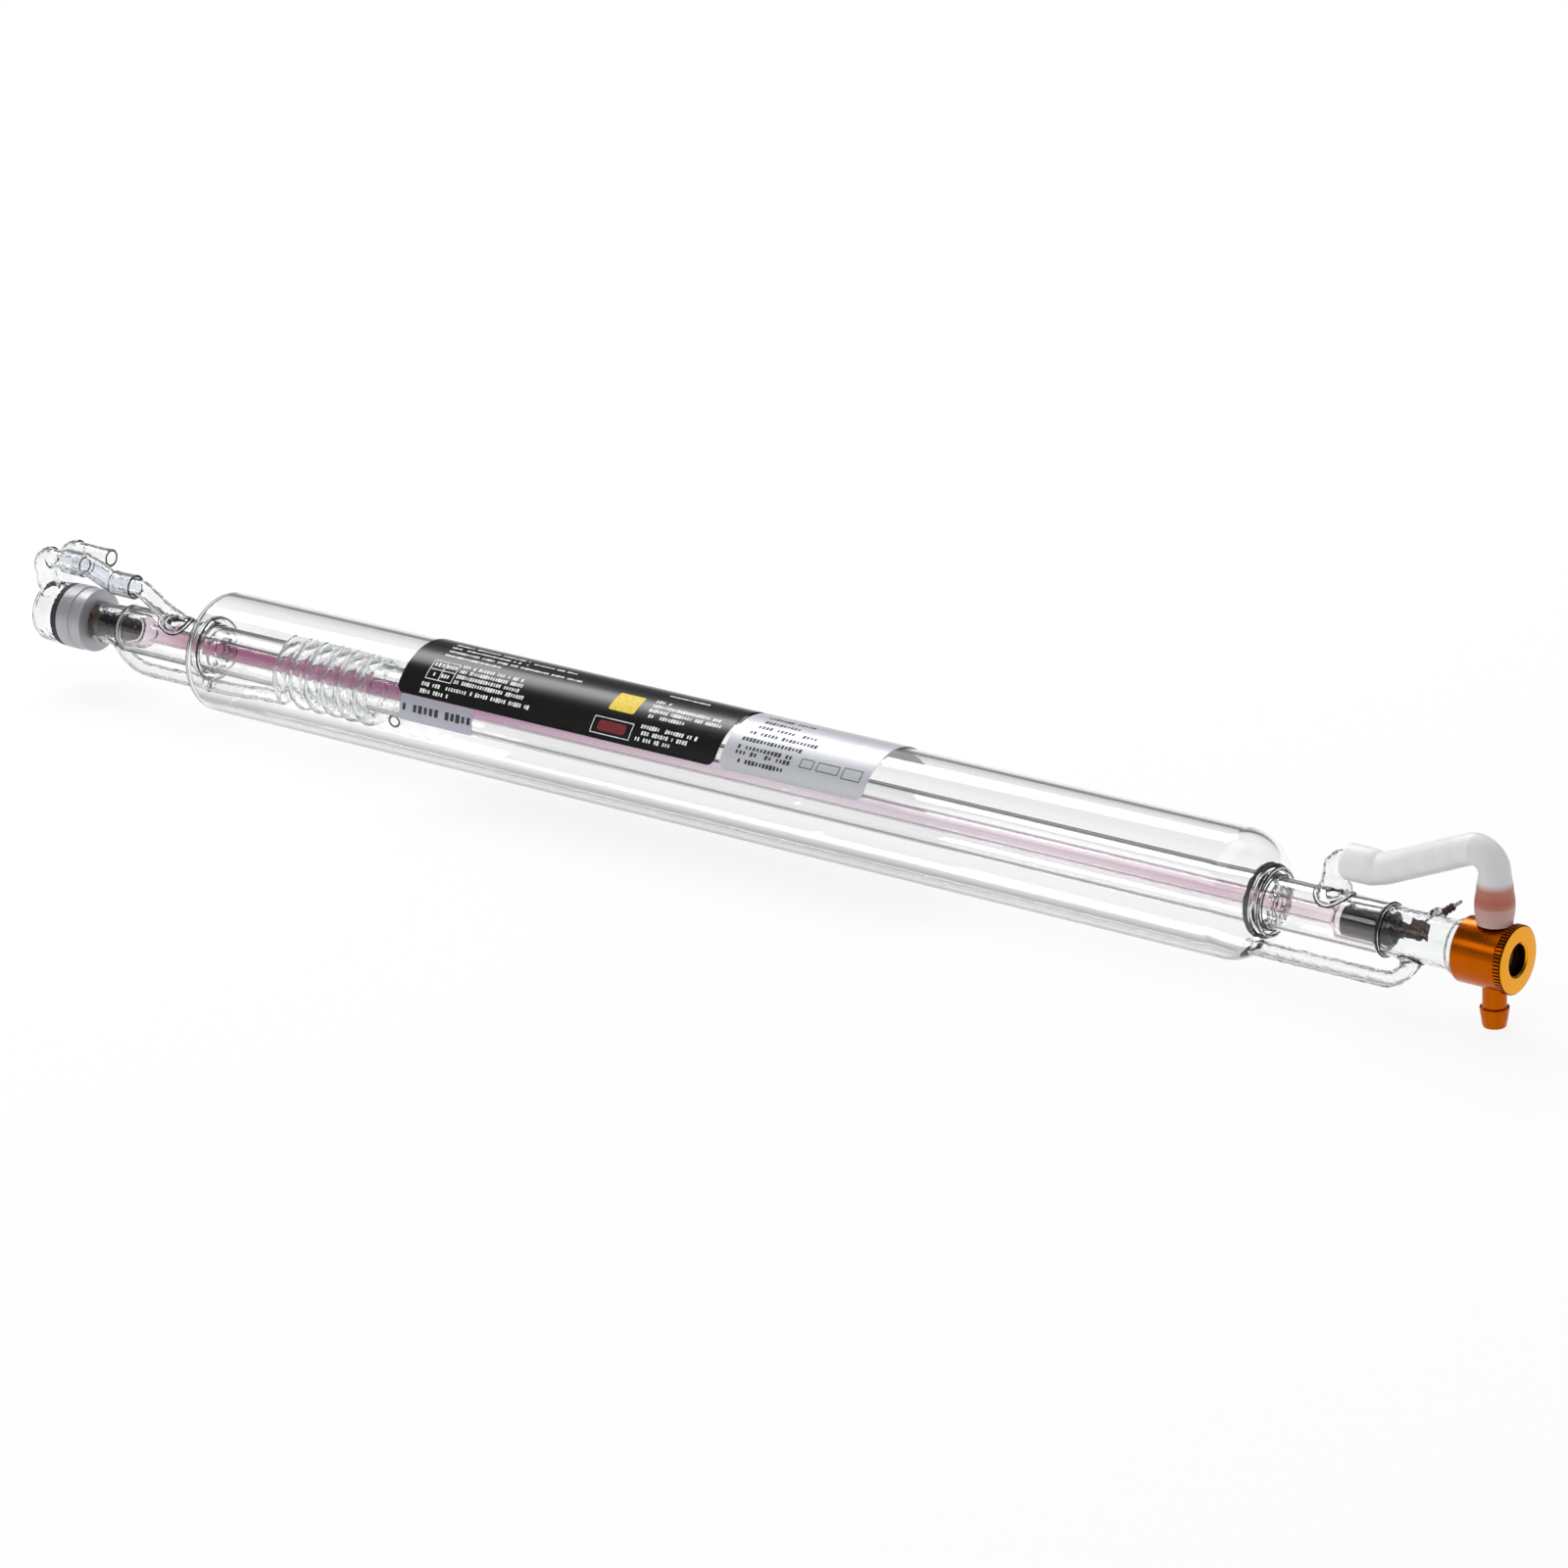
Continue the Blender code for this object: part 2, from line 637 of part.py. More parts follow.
def build_front_chamber():
    """Chamber between the cathode and the output head, with a collar where the head is glued on."""
    start = FRONT_SEAL + GAP
    end = start + FRONT_CHAMBER_LENGTH
    neck = end - COLLAR_LENGTH
    outline = [
        (start, 0),
        (start, FRONT_CHAMBER_R - EDGE_CHAMFER),
        (start + EDGE_CHAMFER, FRONT_CHAMBER_R),
        (neck - EDGE_CHAMFER, FRONT_CHAMBER_R),
        (neck + EDGE_CHAMFER, COLLAR_DIAMETER / 2 - EDGE_CHAMFER),
        (neck + 2 * EDGE_CHAMFER, COLLAR_DIAMETER / 2),
        (end - EDGE_CHAMFER, COLLAR_DIAMETER / 2),
        (end, COLLAR_DIAMETER / 2 - EDGE_CHAMFER),
        (end, 0),
    ]
    chamber = lathe("front_end_chamber", "borosilicate_glass", outline, MEDIUM, ring=False)
    root, way = cathode_arm()
    arm_bore = add_arm(chamber, "cathode", root, way)
    hollow = drill(
        "front_chamber_hollow",
        (start - CHAMBER_WALL, 0, 0),
        (end + CHAMBER_WALL, 0, 0),
        FRONT_CHAMBER_R - CHAMBER_WALL,
        sides=MEDIUM,
    )
    hole = gas_hole(
        "front_chamber_gas_hole",
        FRONT_SEAL + FRONT_BRIDGE_FROM_SEAL,
        FRONT_CHAMBER_R,
        FRONT_BRIDGE_DIAMETER / 2 - SIDE_TUBE_WALL,
    )
    cut(chamber, hollow, arm_bore, hole)


def build_rear_chamber():
    """Chamber between the anode and the rear mirror holder."""
    start = REAR_SEAL - GAP
    end = start - REAR_CHAMBER_LENGTH
    outline = [
        (end, 0),
        (end, REAR_CHAMBER_R - EDGE_CHAMFER),
        (end + EDGE_CHAMFER, REAR_CHAMBER_R),
        (start - EDGE_CHAMFER, REAR_CHAMBER_R),
        (start, REAR_CHAMBER_R - EDGE_CHAMFER),
        (start, 0),
    ]
    chamber = lathe("rear_end_chamber", "borosilicate_glass", outline, MEDIUM, ring=False)
    root, way = anode_arm()
    arm_bore = add_arm(chamber, "anode", root, way)
    hollow = drill(
        "rear_chamber_hollow",
        (end - CHAMBER_WALL, 0, 0),
        (start + CHAMBER_WALL, 0, 0),
        REAR_CHAMBER_R - CHAMBER_WALL,
        sides=MEDIUM,
    )
    hole = gas_hole(
        "rear_chamber_gas_hole",
        REAR_SEAL - REAR_GAS_HOLE_FROM_SEAL,
        REAR_CHAMBER_R,
        REAR_BRIDGE_DIAMETER / 2 - SIDE_TUBE_WALL,
    )
    cut(chamber, hollow, arm_bore, hole)


def build_bridge(name, start, seal, elbow, lean, chamber_r, diameters, bend):
    """Bridge tube from inside a dome, along the outside, and through an elbow to its chamber."""
    side = 1 if elbow.x > 0 else -1
    radius, foot_radius = (diameter / 2 for diameter in diameters)
    leg = Vector((side * cos(lean), 0, 0)) - sin(lean) * around(0, 1, SIDE_TUBE_ANGLE)
    offset = sqrt(elbow.y**2 + elbow.z**2)
    length = (offset - chamber_r + CHAMBER_WALL + radius * cos(lean)) / sin(lean)
    path = bent_path([start, elbow, elbow + leg * length], [bend])
    whole = distances(path)[-1]
    flare = [(0, radius), (whole - BRIDGE_FOOT_LENGTH, radius), (whole, foot_radius)]
    path, (outer,) = stationed(path, flare)
    tube = sweep(name, "borosilicate_glass", path, outer, radius - SIDE_TUBE_WALL)
    reach = Vector((side * 4 * diameters[0], 0, 0))
    rim = Vector((seal + side * GAP, 0, 0))
    saddle = drill(f"{name}_saddle", rim - reach / 8, rim + reach, chamber_r + GAP, sides=MEDIUM)
    shoulder = drill(f"{name}_shoulder", rim - reach, rim, WATER_R + GAP, sides=MEDIUM)
    cut(tube, saddle, shoulder)


def bridge_end(dome, offset):
    """Distance of a bridge's inner end from the middle of the tube."""
    return dome_inside(dome, offset) - BRIDGE_REACH_INSIDE


def build_gas_bridges():
    build_bridge(
        "front_gas_bridge",
        around(bridge_end(FRONT_DOME, FRONT_BRIDGE_OFFSET), FRONT_BRIDGE_OFFSET, SIDE_TUBE_ANGLE),
        FRONT_SEAL,
        around(FRONT_SEAL + FRONT_BRIDGE_FROM_SEAL, FRONT_BRIDGE_OFFSET, SIDE_TUBE_ANGLE),
        FRONT_BRIDGE_LEAN,
        FRONT_CHAMBER_R,
        (FRONT_BRIDGE_DIAMETER, FRONT_BRIDGE_FOOT_DIAMETER),
        FRONT_BRIDGE_BEND,
    )
    build_bridge(
        "rear_gas_bridge",
        around(-bridge_end(REAR_DOME, REAR_BRIDGE_OFFSET), REAR_BRIDGE_OFFSET, SIDE_TUBE_ANGLE),
        REAR_SEAL,
        around(REAR_SEAL - REAR_BRIDGE_FROM_SEAL, REAR_BRIDGE_OFFSET, SIDE_TUBE_ANGLE),
        REAR_BRIDGE_LEAN,
        REAR_CHAMBER_R,
        (REAR_BRIDGE_DIAMETER, REAR_BRIDGE_FOOT_DIAMETER),
        REAR_BRIDGE_BEND,
    )


def coil_path():
    """Straight tail from the dome seal, a bend into the winding, then the turns of the spiral."""
    tail_start = -bridge_end(REAR_DOME, REAR_BRIDGE_OFFSET) + GAP
    bend_start = -BARREL_END + COIL_FROM_BARREL_END
    points = [around(tail_start, REAR_BRIDGE_OFFSET, SIDE_TUBE_ANGLE)]
    points.append(around(tail_start + COIL_TUBE_DIAMETER, REAR_BRIDGE_OFFSET, SIDE_TUBE_ANGLE))
    lead = atan2(COIL_PITCH, 2 * pi * COIL_R)
    for k in range(BEND_STEPS + 1):
        slope = (pi / 2 - lead) * k / BEND_STEPS
        x = bend_start + COIL_ENTRY_BEND * sin(slope)
        angle = SIDE_TUBE_ANGLE - COIL_ENTRY_BEND * (1 - cos(slope)) / COIL_R
        points.append(around(x, COIL_R, angle))
    mouth = -pi / 2 - 2 * pi * COIL_TURNS
    steps = round((angle - mouth) / (2 * pi) * COIL_STEPS_PER_TURN)
    for k in range(1, steps + 1):
        turn = angle + (mouth - angle) * k / steps
        points.append(around(x + COIL_PITCH * (angle - turn) / (2 * pi), COIL_R, turn))
    return points


def build_gas_return_coil():
    """The spiral gas return: one bent glass tube, open inside the jacket."""
    radius = COIL_TUBE_DIAMETER / 2
    sweep(
        "gas_return_coil",
        "borosilicate_glass",
        coil_path(),
        radius,
        radius - COIL_TUBE_WALL,
        sides=COIL_FACETS,
        sharp=60,
    )


def build_front_nipple():
    """Glass nipple above the front of the water jacket, bent forwards into the silicone hose."""
    radius = FRONT_NIPPLE_DIAMETER / 2
    tip_x = FRONT_NIPPLE_X + FRONT_NIPPLE_REACH
    corners = [
        (FRONT_NIPPLE_X, 0, WATER_BORE_R - WATER_WALL),
        (FRONT_NIPPLE_X, 0, FRONT_NIPPLE_HEIGHT),
        (tip_x, 0, FRONT_NIPPLE_HEIGHT),
    ]
    path = bent_path(corners, [FRONT_NIPPLE_BEND])
    tip = distances(path)[-1]
    outside = [
        *FRONT_NIPPLE_FOOT,
        (tip - 2 * radius, radius),
        (tip - radius, radius + FRONT_NIPPLE_BULGE),
        (tip, radius - FRONT_NIPPLE_BULGE),
    ]
    inside = [(d, r - NIPPLE_WALL) for d, r in FRONT_NIPPLE_FOOT]
    path, (outer, inner) = stationed(path, outside, inside)
    tube = sweep("front_water_nipple", "borosilicate_glass", path, outer, inner)
    saddle = drill(
        "front_nipple_saddle",
        (FRONT_NIPPLE_X - WATER_R, 0, 0),
        (FRONT_NIPPLE_X + WATER_R, 0, 0),
        WATER_R + GAP,
        sides=MEDIUM,
    )
    cut(tube, saddle)


def rear_nipple_mouth():
    """The open end of the rear nipple, inside the clear hose."""
    return rear_nipple_top() - Vector((REAR_NIPPLE_REACH, 0, 0))


def build_rear_nipple():
    """Glass nipple on the rear of the water jacket, leaning back and to the near side, then bent level."""
    lean = nipple_lean()
    corners = [
        Vector((REAR_NIPPLE_X, 0, 0)) + lean * WATER_BORE_R,
        rear_nipple_top(),
        rear_nipple_mouth(),
    ]
    path = bent_path(corners, [REAR_NIPPLE_BEND])
    inside = [(d, r - NIPPLE_WALL) for d, r in REAR_NIPPLE_FOOT]
    path, (outer, inner) = stationed(path, REAR_NIPPLE_FOOT, inside)
    tube = sweep("rear_water_nipple", "borosilicate_glass", path, outer, inner)
    saddle = drill(
        "rear_nipple_saddle",
        (REAR_NIPPLE_X - WATER_DIAMETER, 0, 0),
        (REAR_NIPPLE_X + WATER_R / 2, 0, 0),
        WATER_R + GAP,
        sides=MEDIUM,
    )
    cut(tube, saddle)


def build_electrode(name, start, end):
    """Thin hollow cylinder with a rolled lip at each end."""
    outer = ELECTRODE_DIAMETER / 2
    inner = outer - ELECTRODE_WALL
    lip = ELECTRODE_LIP
    outline = [
        (start, outer - lip),
        (start + lip, outer),
        (end - lip, outer),
        (end, outer - lip),
        (end, inner - lip),
        (end - 2 * lip, inner),
        (start + 2 * lip, inner),
        (start, inner - lip),
    ]
    lathe(name, "blackened_nickel", outline, SMALL)


def build_lead_through(label, root, way, foot):
    """Ribbed sleeve on the tip of an arm, with the bright pin through it, from its foot inside."""
    outer = SLEEVE_DIAMETER / 2
    tip = ARM_LENGTH + GAP
    pitch = SLEEVE_LENGTH / SLEEVE_RIBS
    bore = PIN_DIAMETER / 2 + GAP
    outline = [(tip, bore)]
    for k in range(SLEEVE_RIBS):
        start = tip + k * pitch
        outline.append((start, outer - SLEEVE_RIB_DEPTH))
        outline.append((start + pitch / 2, outer))
    outline.append((tip + SLEEVE_LENGTH, outer - SLEEVE_RIB_DEPTH))
    outline.append((tip + SLEEVE_LENGTH, bore))
    sleeve = lathe(f"{label}_pin_sleeve", "brown_ceramic", outline, FINE)
    end = tip + SLEEVE_LENGTH + PIN_OUTSIDE
    radius = PIN_DIAMETER / 2
    rod = [(foot, 0), (foot, radius), (end - radius / 2, radius), (end, radius / 2), (end, 0)]
    pin = lathe(f"{label}_pin", "bright_steel", rod, 8, ring=False)
    turn = Vector((1, 0, 0)).rotation_difference(way).to_matrix().to_4x4()
    for piece in (sleeve, pin):
        piece.matrix_world = Matrix.Translation(root) @ turn


def build_cathode_lead(cathode_end, root, way):
    """Stepped upright plate from inside the cathode's lip to the foot of its pin, and just beside it."""
    foot = root - way * CATHODE_PIN_INSIDE
    side = foot.y - PIN_DIAMETER / 2 - GAP
    under_lip = ELECTRODE_DIAMETER / 2 - ELECTRODE_WALL - ELECTRODE_LIP - GAP
    outline = [(-LEAD_INSIDE, under_lip), (0, under_lip), *LEAD_STEPS, (-LEAD_INSIDE, LEAD_LOW)]
    bm = bmesh.new()
    near, far = (
        [bm.verts.new((cathode_end + x, y, z)) for x, z in outline] for y in (side - LEAD_THICKNESS, side)
    )
    for k in range(len(outline)):
        n = (k + 1) % len(outline)
        bm.faces.new((near[k], near[n], far[n], far[k]))
    bm.faces.new(near)
    bm.faces.new(far)
    piece_from(bm, "cathode_lead", "blackened_nickel")


def build_electrodes():
    """Cathode with its lead strip and pin; the shorter anode is welded straight to its pin."""
    cathode_end = FRONT_SEAL + CATHODE_PAST_SEAL
    build_electrode("cathode", cathode_end - CATHODE_LENGTH, cathode_end)
    root, way = cathode_arm()
    build_lead_through("cathode", root, way, -CATHODE_PIN_INSIDE)
    build_cathode_lead(cathode_end, root, way)
    anode_end = REAR_SEAL - ANODE_PAST_SEAL
    build_electrode("anode", anode_end, anode_end + ANODE_LENGTH)
    root, way = anode_arm()
    anode_top = ELECTRODE_DIAMETER / 2 + GAP
    build_lead_through("anode", root, way, anode_top - sqrt(root.y**2 + root.z**2))


def build_output_head():
    """Turned head: glue face, stepped bore, mirror seat, and a water gallery fed by both barbs."""
    radius = HEAD_DIAMETER / 2
    bore = HEAD_BORE / 2
    seat = MIRROR_DIAMETER / 2 + GAP
    floor = HEAD_END - (GAP + SEAL_THICKNESS + GAP + OUTPUT_MIRROR_THICKNESS)
    stop = APERTURE / 2
    step = floor - SEAL_THICKNESS
    outline = [
        (HEAD_START, bore),
        (HEAD_START, radius - EDGE_CHAMFER),
        (HEAD_START + EDGE_CHAMFER, radius),
        (HEAD_END - EDGE_CHAMFER, radius),
        (HEAD_END, radius - EDGE_CHAMFER),
        (HEAD_END, seat),
        (floor, seat),
        (floor, stop),
        (step, stop),
        (step, bore),
    ]
    head = lathe("output_head", "anodised_amber", outline, LARGE)
    stem = BARB_STEM_DIAMETER / 2
    seat_low = radius - BARB_SEAT_DEPTH
    low = bore + GALLERY_FROM_BORE
    high = low + GALLERY_DEPTH
    half = GALLERY_WIDTH / 2
    ring = [(BARB_X - half, low), (BARB_X - half, high), (BARB_X + half, high), (BARB_X + half, low)]
    gallery = lathe("water_gallery", None, ring, SMALL)
    cut(head, gallery)
    for label, side in (("upper", 1), ("lower", -1)):
        outside = (BARB_X, 0, side * 2 * radius)
        seat_centre = (BARB_X, 0, side * seat_low)
        socket = drill(f"{label}_barb_socket", seat_centre, outside, stem + GAP, sides=SMALL)
        port_low = (BARB_X, 0, side * (low + GALLERY_DEPTH / 3))
        port = drill(f"{label}_barb_port", port_low, outside, half - GAP, sides=8)
        cut(head, socket, port)


def build_output_bezel():
    """Screwed bezel: a knurled rim and a chamfered aperture."""
    root = BEZEL_DIAMETER / 2 - KNURL_DEPTH
    hole = APERTURE / 2
    back = BEZEL_START
    face = BEZEL_END
    points = 2 * KNURL_TEETH
    bm = bmesh.new()

    def circle(x, radius, tooth=0):
        angles = [2 * pi * k / points for k in range(points)]
        return [bm.verts.new(around(x, radius + tooth * (k % 2), a)) for k, a in enumerate(angles)]

    rings = [
        circle(back, hole),
        circle(back, root, KNURL_DEPTH),
        circle(face - EDGE_CHAMFER, root, KNURL_DEPTH),
        circle(face, root - KNURL_DEPTH),
        circle(face, hole + APERTURE_CHAMFER),
        circle(face - APERTURE_CHAMFER, hole),
    ]
    for low, high in zip(rings, rings[1:] + rings[:1]):
        for k in range(points):
            n = (k + 1) % points
            bm.faces.new((low[k], low[n], high[n], high[k]))
    piece_from(bm, "output_bezel", "anodised_amber", sharp=25)


def disc(name, family, start, thickness, diameter, steps=MEDIUM):
    """Round plate with a narrow bevel round both faces."""
    radius = diameter / 2
    bevel = min(EDGE_CHAMFER, thickness / 4)
    outline = [
        (start, 0),
        (start, radius - bevel),
        (start + bevel, radius),
        (start + thickness - bevel, radius),
        (start + thickness, radius - bevel),
        (start + thickness, 0),
    ]
    return lathe(name, family, outline, steps, ring=False)


def build_output_optics():
    """The partly reflecting output mirror, pressed on its seal by the bezel."""
    mirror_start = BEZEL_START - GAP - OUTPUT_MIRROR_THICKNESS
    disc("output_mirror", "zinc_selenide", mirror_start, OUTPUT_MIRROR_THICKNESS, MIRROR_DIAMETER)
    section = SEAL_THICKNESS / 2
    centre = (mirror_start - GAP - section, (MIRROR_DIAMETER + APERTURE) / 4)
    ring = arc(centre, section, 0, 2 * pi, 6)[:-1]
    lathe("output_mirror_seal", "black_rubber", ring, SMALL)


def build_water_barbs():
    """Two equal barbs, screwed in above and below the head."""
    stem = BARB_STEM_DIAMETER / 2
    shoulder = BARB_SHOULDER_DIAMETER / 2
    tip = BARB_TIP_DIAMETER / 2
    foot = HEAD_DIAMETER / 2 - BARB_SEAT_DEPTH + GAP
    outline = [
        (foot, BARB_BORE / 2),
        (foot, stem),
        (BARB_SHOULDER_HEIGHT - EDGE_CHAMFER, stem),
        (BARB_SHOULDER_HEIGHT, shoulder),
        (BARB_SHOULDER_HEIGHT + 2 * EDGE_CHAMFER, shoulder),
        (BARB_HEIGHT - 2 * EDGE_CHAMFER, tip),
        (BARB_HEIGHT - EDGE_CHAMFER / 2, tip - EDGE_CHAMFER / 2),
        (BARB_HEIGHT, tip - 2 * EDGE_CHAMFER),
        (BARB_HEIGHT, BARB_BORE / 2),
    ]
    for name, tilt in (("upper_water_barb", -pi / 2), ("lower_water_barb", pi / 2)):
        barb = lathe(name, "anodised_amber", outline, SMALL)
        barb.location = (BARB_X, 0, 0)
        barb.rotation_euler = (0, tilt, 0)


def build_front_hose():
    """Silicone link hose from the front glass nipple, up and over to the upper barb."""
    free = FRONT_HOSE_DIAMETER / 2
    bore = free - FRONT_HOSE_WALL
    nipple = FRONT_NIPPLE_DIAMETER / 2 + FRONT_NIPPLE_BULGE + GAP
    stem = BARB_STEM_DIAMETER / 2 + 2 * GAP
    shoulder = BARB_SHOULDER_DIAMETER / 2 + GAP
    start_x = FRONT_NIPPLE_X + FRONT_NIPPLE_BEND + GAP
    over = FRONT_NIPPLE_X + FRONT_NIPPLE_REACH
    hose_foot = HEAD_DIAMETER / 2 + GAP
    corners = [
        (start_x, 0, FRONT_NIPPLE_HEIGHT),
        (start_x + FRONT_HOSE_KINK, 0, FRONT_NIPPLE_HEIGHT),
        (BARB_X, 0, FRONT_NIPPLE_HEIGHT + FRONT_HOSE_RISE),
        (BARB_X, 0, hose_foot),
    ]
    path = bent_path(corners, [FRONT_HOSE_DIAMETER, FRONT_HOSE_BEND])
    whole = distances(path)[-1]
    nipple_end = over - start_x
    tip = whole - (BARB_HEIGHT - hose_foot)
    ridge = whole - (BARB_SHOULDER_HEIGHT - hose_foot)
    ease = FRONT_HOSE_EASE
    runout = FRONT_HOSE_RUNOUT
    inner = [
        (0, nipple),
        (nipple_end + GAP, nipple),
        (nipple_end + ease, bore),
        (tip - ease, bore),
        (tip - runout, stem + GAP),
        (ridge - 2 * runout, shoulder + GAP),
        (ridge + runout, shoulder + GAP),
        (ridge + 4 * runout, stem),
        (whole, stem),
    ]
    outer = [
        (0, nipple + FRONT_HOSE_WALL / 2),
        (runout, nipple + FRONT_HOSE_WALL),
        (nipple_end, nipple + FRONT_HOSE_WALL),
        (nipple_end + ease, free),
        (tip - ease, free),
        (tip + 2 * runout, FRONT_HOSE_CUFF / 2),
        (ridge - runout, FRONT_HOSE_BULGE / 2),
        (ridge + 2 * runout, FRONT_HOSE_BULGE / 2),
        (whole, FRONT_HOSE_CUFF / 2),
    ]
    path, (outer, inner) = stationed(path, outer, inner)
    sweep("front_link_hose", "milky_silicone", path, outer, inner)


def near_arm_tip():
    """The open end of the near nipple of the water cap."""
    return Vector((CAP_ARM_X + CAP_ARM_REACH, -CAP_ARM_SPREAD, CAP_NEAR_HEIGHT))


def build_rear_hose():
    """Clear link hose from the near arm of the water cap to the rear nipple of the water jacket."""
    free = REAR_HOSE_DIAMETER / 2
    bore = free - REAR_HOSE_WALL
    nipple = REAR_NIPPLE_DIAMETER / 2 + GAP
    arm_tip = near_arm_tip()
    mouth = rear_nipple_mouth()
    overlap = Vector((REAR_HOSE_OVERLAP, 0, 0))
    straight = Vector((REAR_HOSE_STRAIGHT, 0, 0))
    corners = [arm_tip - overlap, arm_tip + straight, mouth - straight, mouth + overlap]
    path = bent_path(corners, [REAR_HOSE_BEND, REAR_HOSE_BEND], steps=3)
    whole = distances(path)[-1]
    grip = REAR_HOSE_OVERLAP + 2 * GAP
    ease = REAR_HOSE_OVERLAP + REAR_HOSE_EASE
    inner = [
        (0, nipple),
        (grip, nipple),
        (ease, bore),
        (whole - ease, bore),
        (whole - grip, nipple),
        (whole, nipple),
    ]
    outer = [
        (0, nipple + REAR_HOSE_WALL),
        (grip, nipple + REAR_HOSE_WALL),
        (ease, free),
        (whole - ease, free),
        (whole - grip, nipple + REAR_HOSE_WALL),
        (whole, nipple + REAR_HOSE_WALL),
    ]
    path, (outer, inner) = stationed(path, outer, inner)
    sweep("rear_link_hose", "clear_hose", path, outer, inner)


def build_rear_mirror_holder():
    """Turned mirror holder with two bands, a gas bore and a mirror seat in its back."""
    radius = HOLDER_DIAMETER / 2
    front_r = radius - HOLDER_STEP
    seat = MIRROR_DIAMETER / 2 + GAP
    floor = HOLDER_BACK + REAR_MIRROR_THICKNESS + GAP
    band = HOLDER_BACK + HOLDER_REAR_BAND
    outline = [
        (HOLDER_BACK, seat),
        (HOLDER_BACK, radius - EDGE_CHAMFER),
        (HOLDER_BACK + EDGE_CHAMFER, radius),
        (band, radius),
        (band, front_r),
        (HOLDER_FRONT - EDGE_CHAMFER, front_r),
        (HOLDER_FRONT, front_r - EDGE_CHAMFER),
        (HOLDER_FRONT, HOLDER_BORE / 2),
        (floor, HOLDER_BORE / 2),
        (floor, seat),
    ]
    lathe("rear_mirror_holder", "brushed_aluminium", outline, LARGE)
    disc("rear_mirror", "gold_mirror", HOLDER_BACK, REAR_MIRROR_THICKNESS, MIRROR_DIAMETER)
    gasket = [
        (GASKET_BACK, GASKET_BORE / 2),
        (GASKET_BACK, GASKET_DIAMETER / 2),
        (GASKET_BACK + GASKET_LENGTH, GASKET_DIAMETER / 2),
        (GASKET_BACK + GASKET_LENGTH, GASKET_BORE / 2),
    ]
    lathe("rear_gasket", "black_rubber", gasket, LARGE)


def cap_arm(label, side, height, diameter, overshoot):
    """A solid arm of the water cap, from low in the cap up to its nipple."""
    foot = Vector((CAP_ARM_X, side * CAP_ARM_SPREAD / 2, CAP_DIAMETER / 4))
    knee = Vector((CAP_ARM_X, side * CAP_ARM_SPREAD, height))
    tip = knee + Vector((CAP_ARM_REACH + overshoot, 0, 0))
    path = bent_path([foot, knee, tip], [CAP_ARM_BEND])
    whole = distances(path)[-1]
    full = diameter / 2
    nipple = full - (CAP_ARM_DIAMETER - REAR_NIPPLE_DIAMETER) / 2
    shoulder = whole - overshoot - CAP_ARM_REACH + CAP_ARM_BEND
    taper = [(0, full), (shoulder, full), (shoulder + CAP_ARM_SHOULDER, nipple), (whole, nipple)]
    path, (outer,) = stationed(path, taper)
    return sweep(label, None, path, outer)


def build_rear_water_cap():
    """Blown water cap behind the mirror holder, with two arms that end in hose nipples."""
    radius = CAP_DIAMETER / 2
    outline = [(CAP_MOUTH, 0), (CAP_MOUTH, radius)]
    outline += arc((CAP_BACK + CAP_ROUNDING, radius - CAP_ROUNDING), CAP_ROUNDING, pi / 2, pi, 4)
    outline.append((CAP_BACK, 0))
    cap = lathe("rear_water_cap", "borosilicate_glass", outline, MEDIUM, ring=False)
    inner_r = radius - CAP_WALL
    hollow_outline = [(CAP_MOUTH + CAP_WALL, 0), (CAP_MOUTH + CAP_WALL, inner_r)]
    rounding = CAP_ROUNDING - CAP_WALL
    centre = (CAP_BACK + CAP_ROUNDING, radius - CAP_ROUNDING)
    hollow_outline += arc(centre, rounding, pi / 2, pi, 3)
    hollow_outline.append((CAP_BACK + CAP_WALL, 0))
    hollow = lathe("rear_cap_hollow", None, hollow_outline, MEDIUM, ring=False)
    arms = (("near", -1, CAP_NEAR_HEIGHT), ("far", 1, CAP_FAR_HEIGHT))
    for label, side, height in arms:
        join(cap, cap_arm(f"{label}_arm", side, height, CAP_ARM_DIAMETER, 0))
    cut(cap, hollow)
    for label, side, height in arms:
        cut(cap, cap_arm(f"{label}_arm_bore", side, height, CAP_ARM_DIAMETER - 2 * NIPPLE_WALL, CAP_WALL))


def build_label(name, family, start, length, angles, corner):
    """Printed film wrapped on the gas jacket between two angles, with rounded corners."""
    angle_from, angle_to = angles
    low = JACKET_R + GAP
    high = low + LABEL_THICKNESS
    height = (angle_to - angle_from) * low
    corner_steps = 3
    rim = [corner * (1 - cos(pi / 2 * k / corner_steps)) for k in range(corner_steps + 1)]
    middle_steps = max(2, round(degrees(angle_to - angle_from) / 10))
    middle = [corner + (height - 2 * corner) * k / middle_steps for k in range(1, middle_steps)]
    rows = rim + middle + [height - d for d in reversed(rim)]
    bm = bmesh.new()
    loops = []
    for d in rows:
        near = min(d, height - d, corner)
        inset = corner - sqrt(max(0, corner**2 - (corner - near) ** 2))
        angle = angle_from + d / low
        left, right = start + inset, start + length - inset
        places = ((left, low), (right, low), (left, high), (right, high))
        loops.append([bm.verts.new(around(x, r, angle)) for x, r in places])
    for (a, b, c, d), (e, f, g, h) in zip(loops, loops[1:]):
        for quad in ((a, b, f, e), (c, d, h, g), (a, e, g, c), (b, f, h, d)):
            bm.faces.new(quad)
    for a, b, c, d in (loops[0], loops[-1]):
        bm.faces.new((a, b, d, c))
    piece_from(bm, name, family)


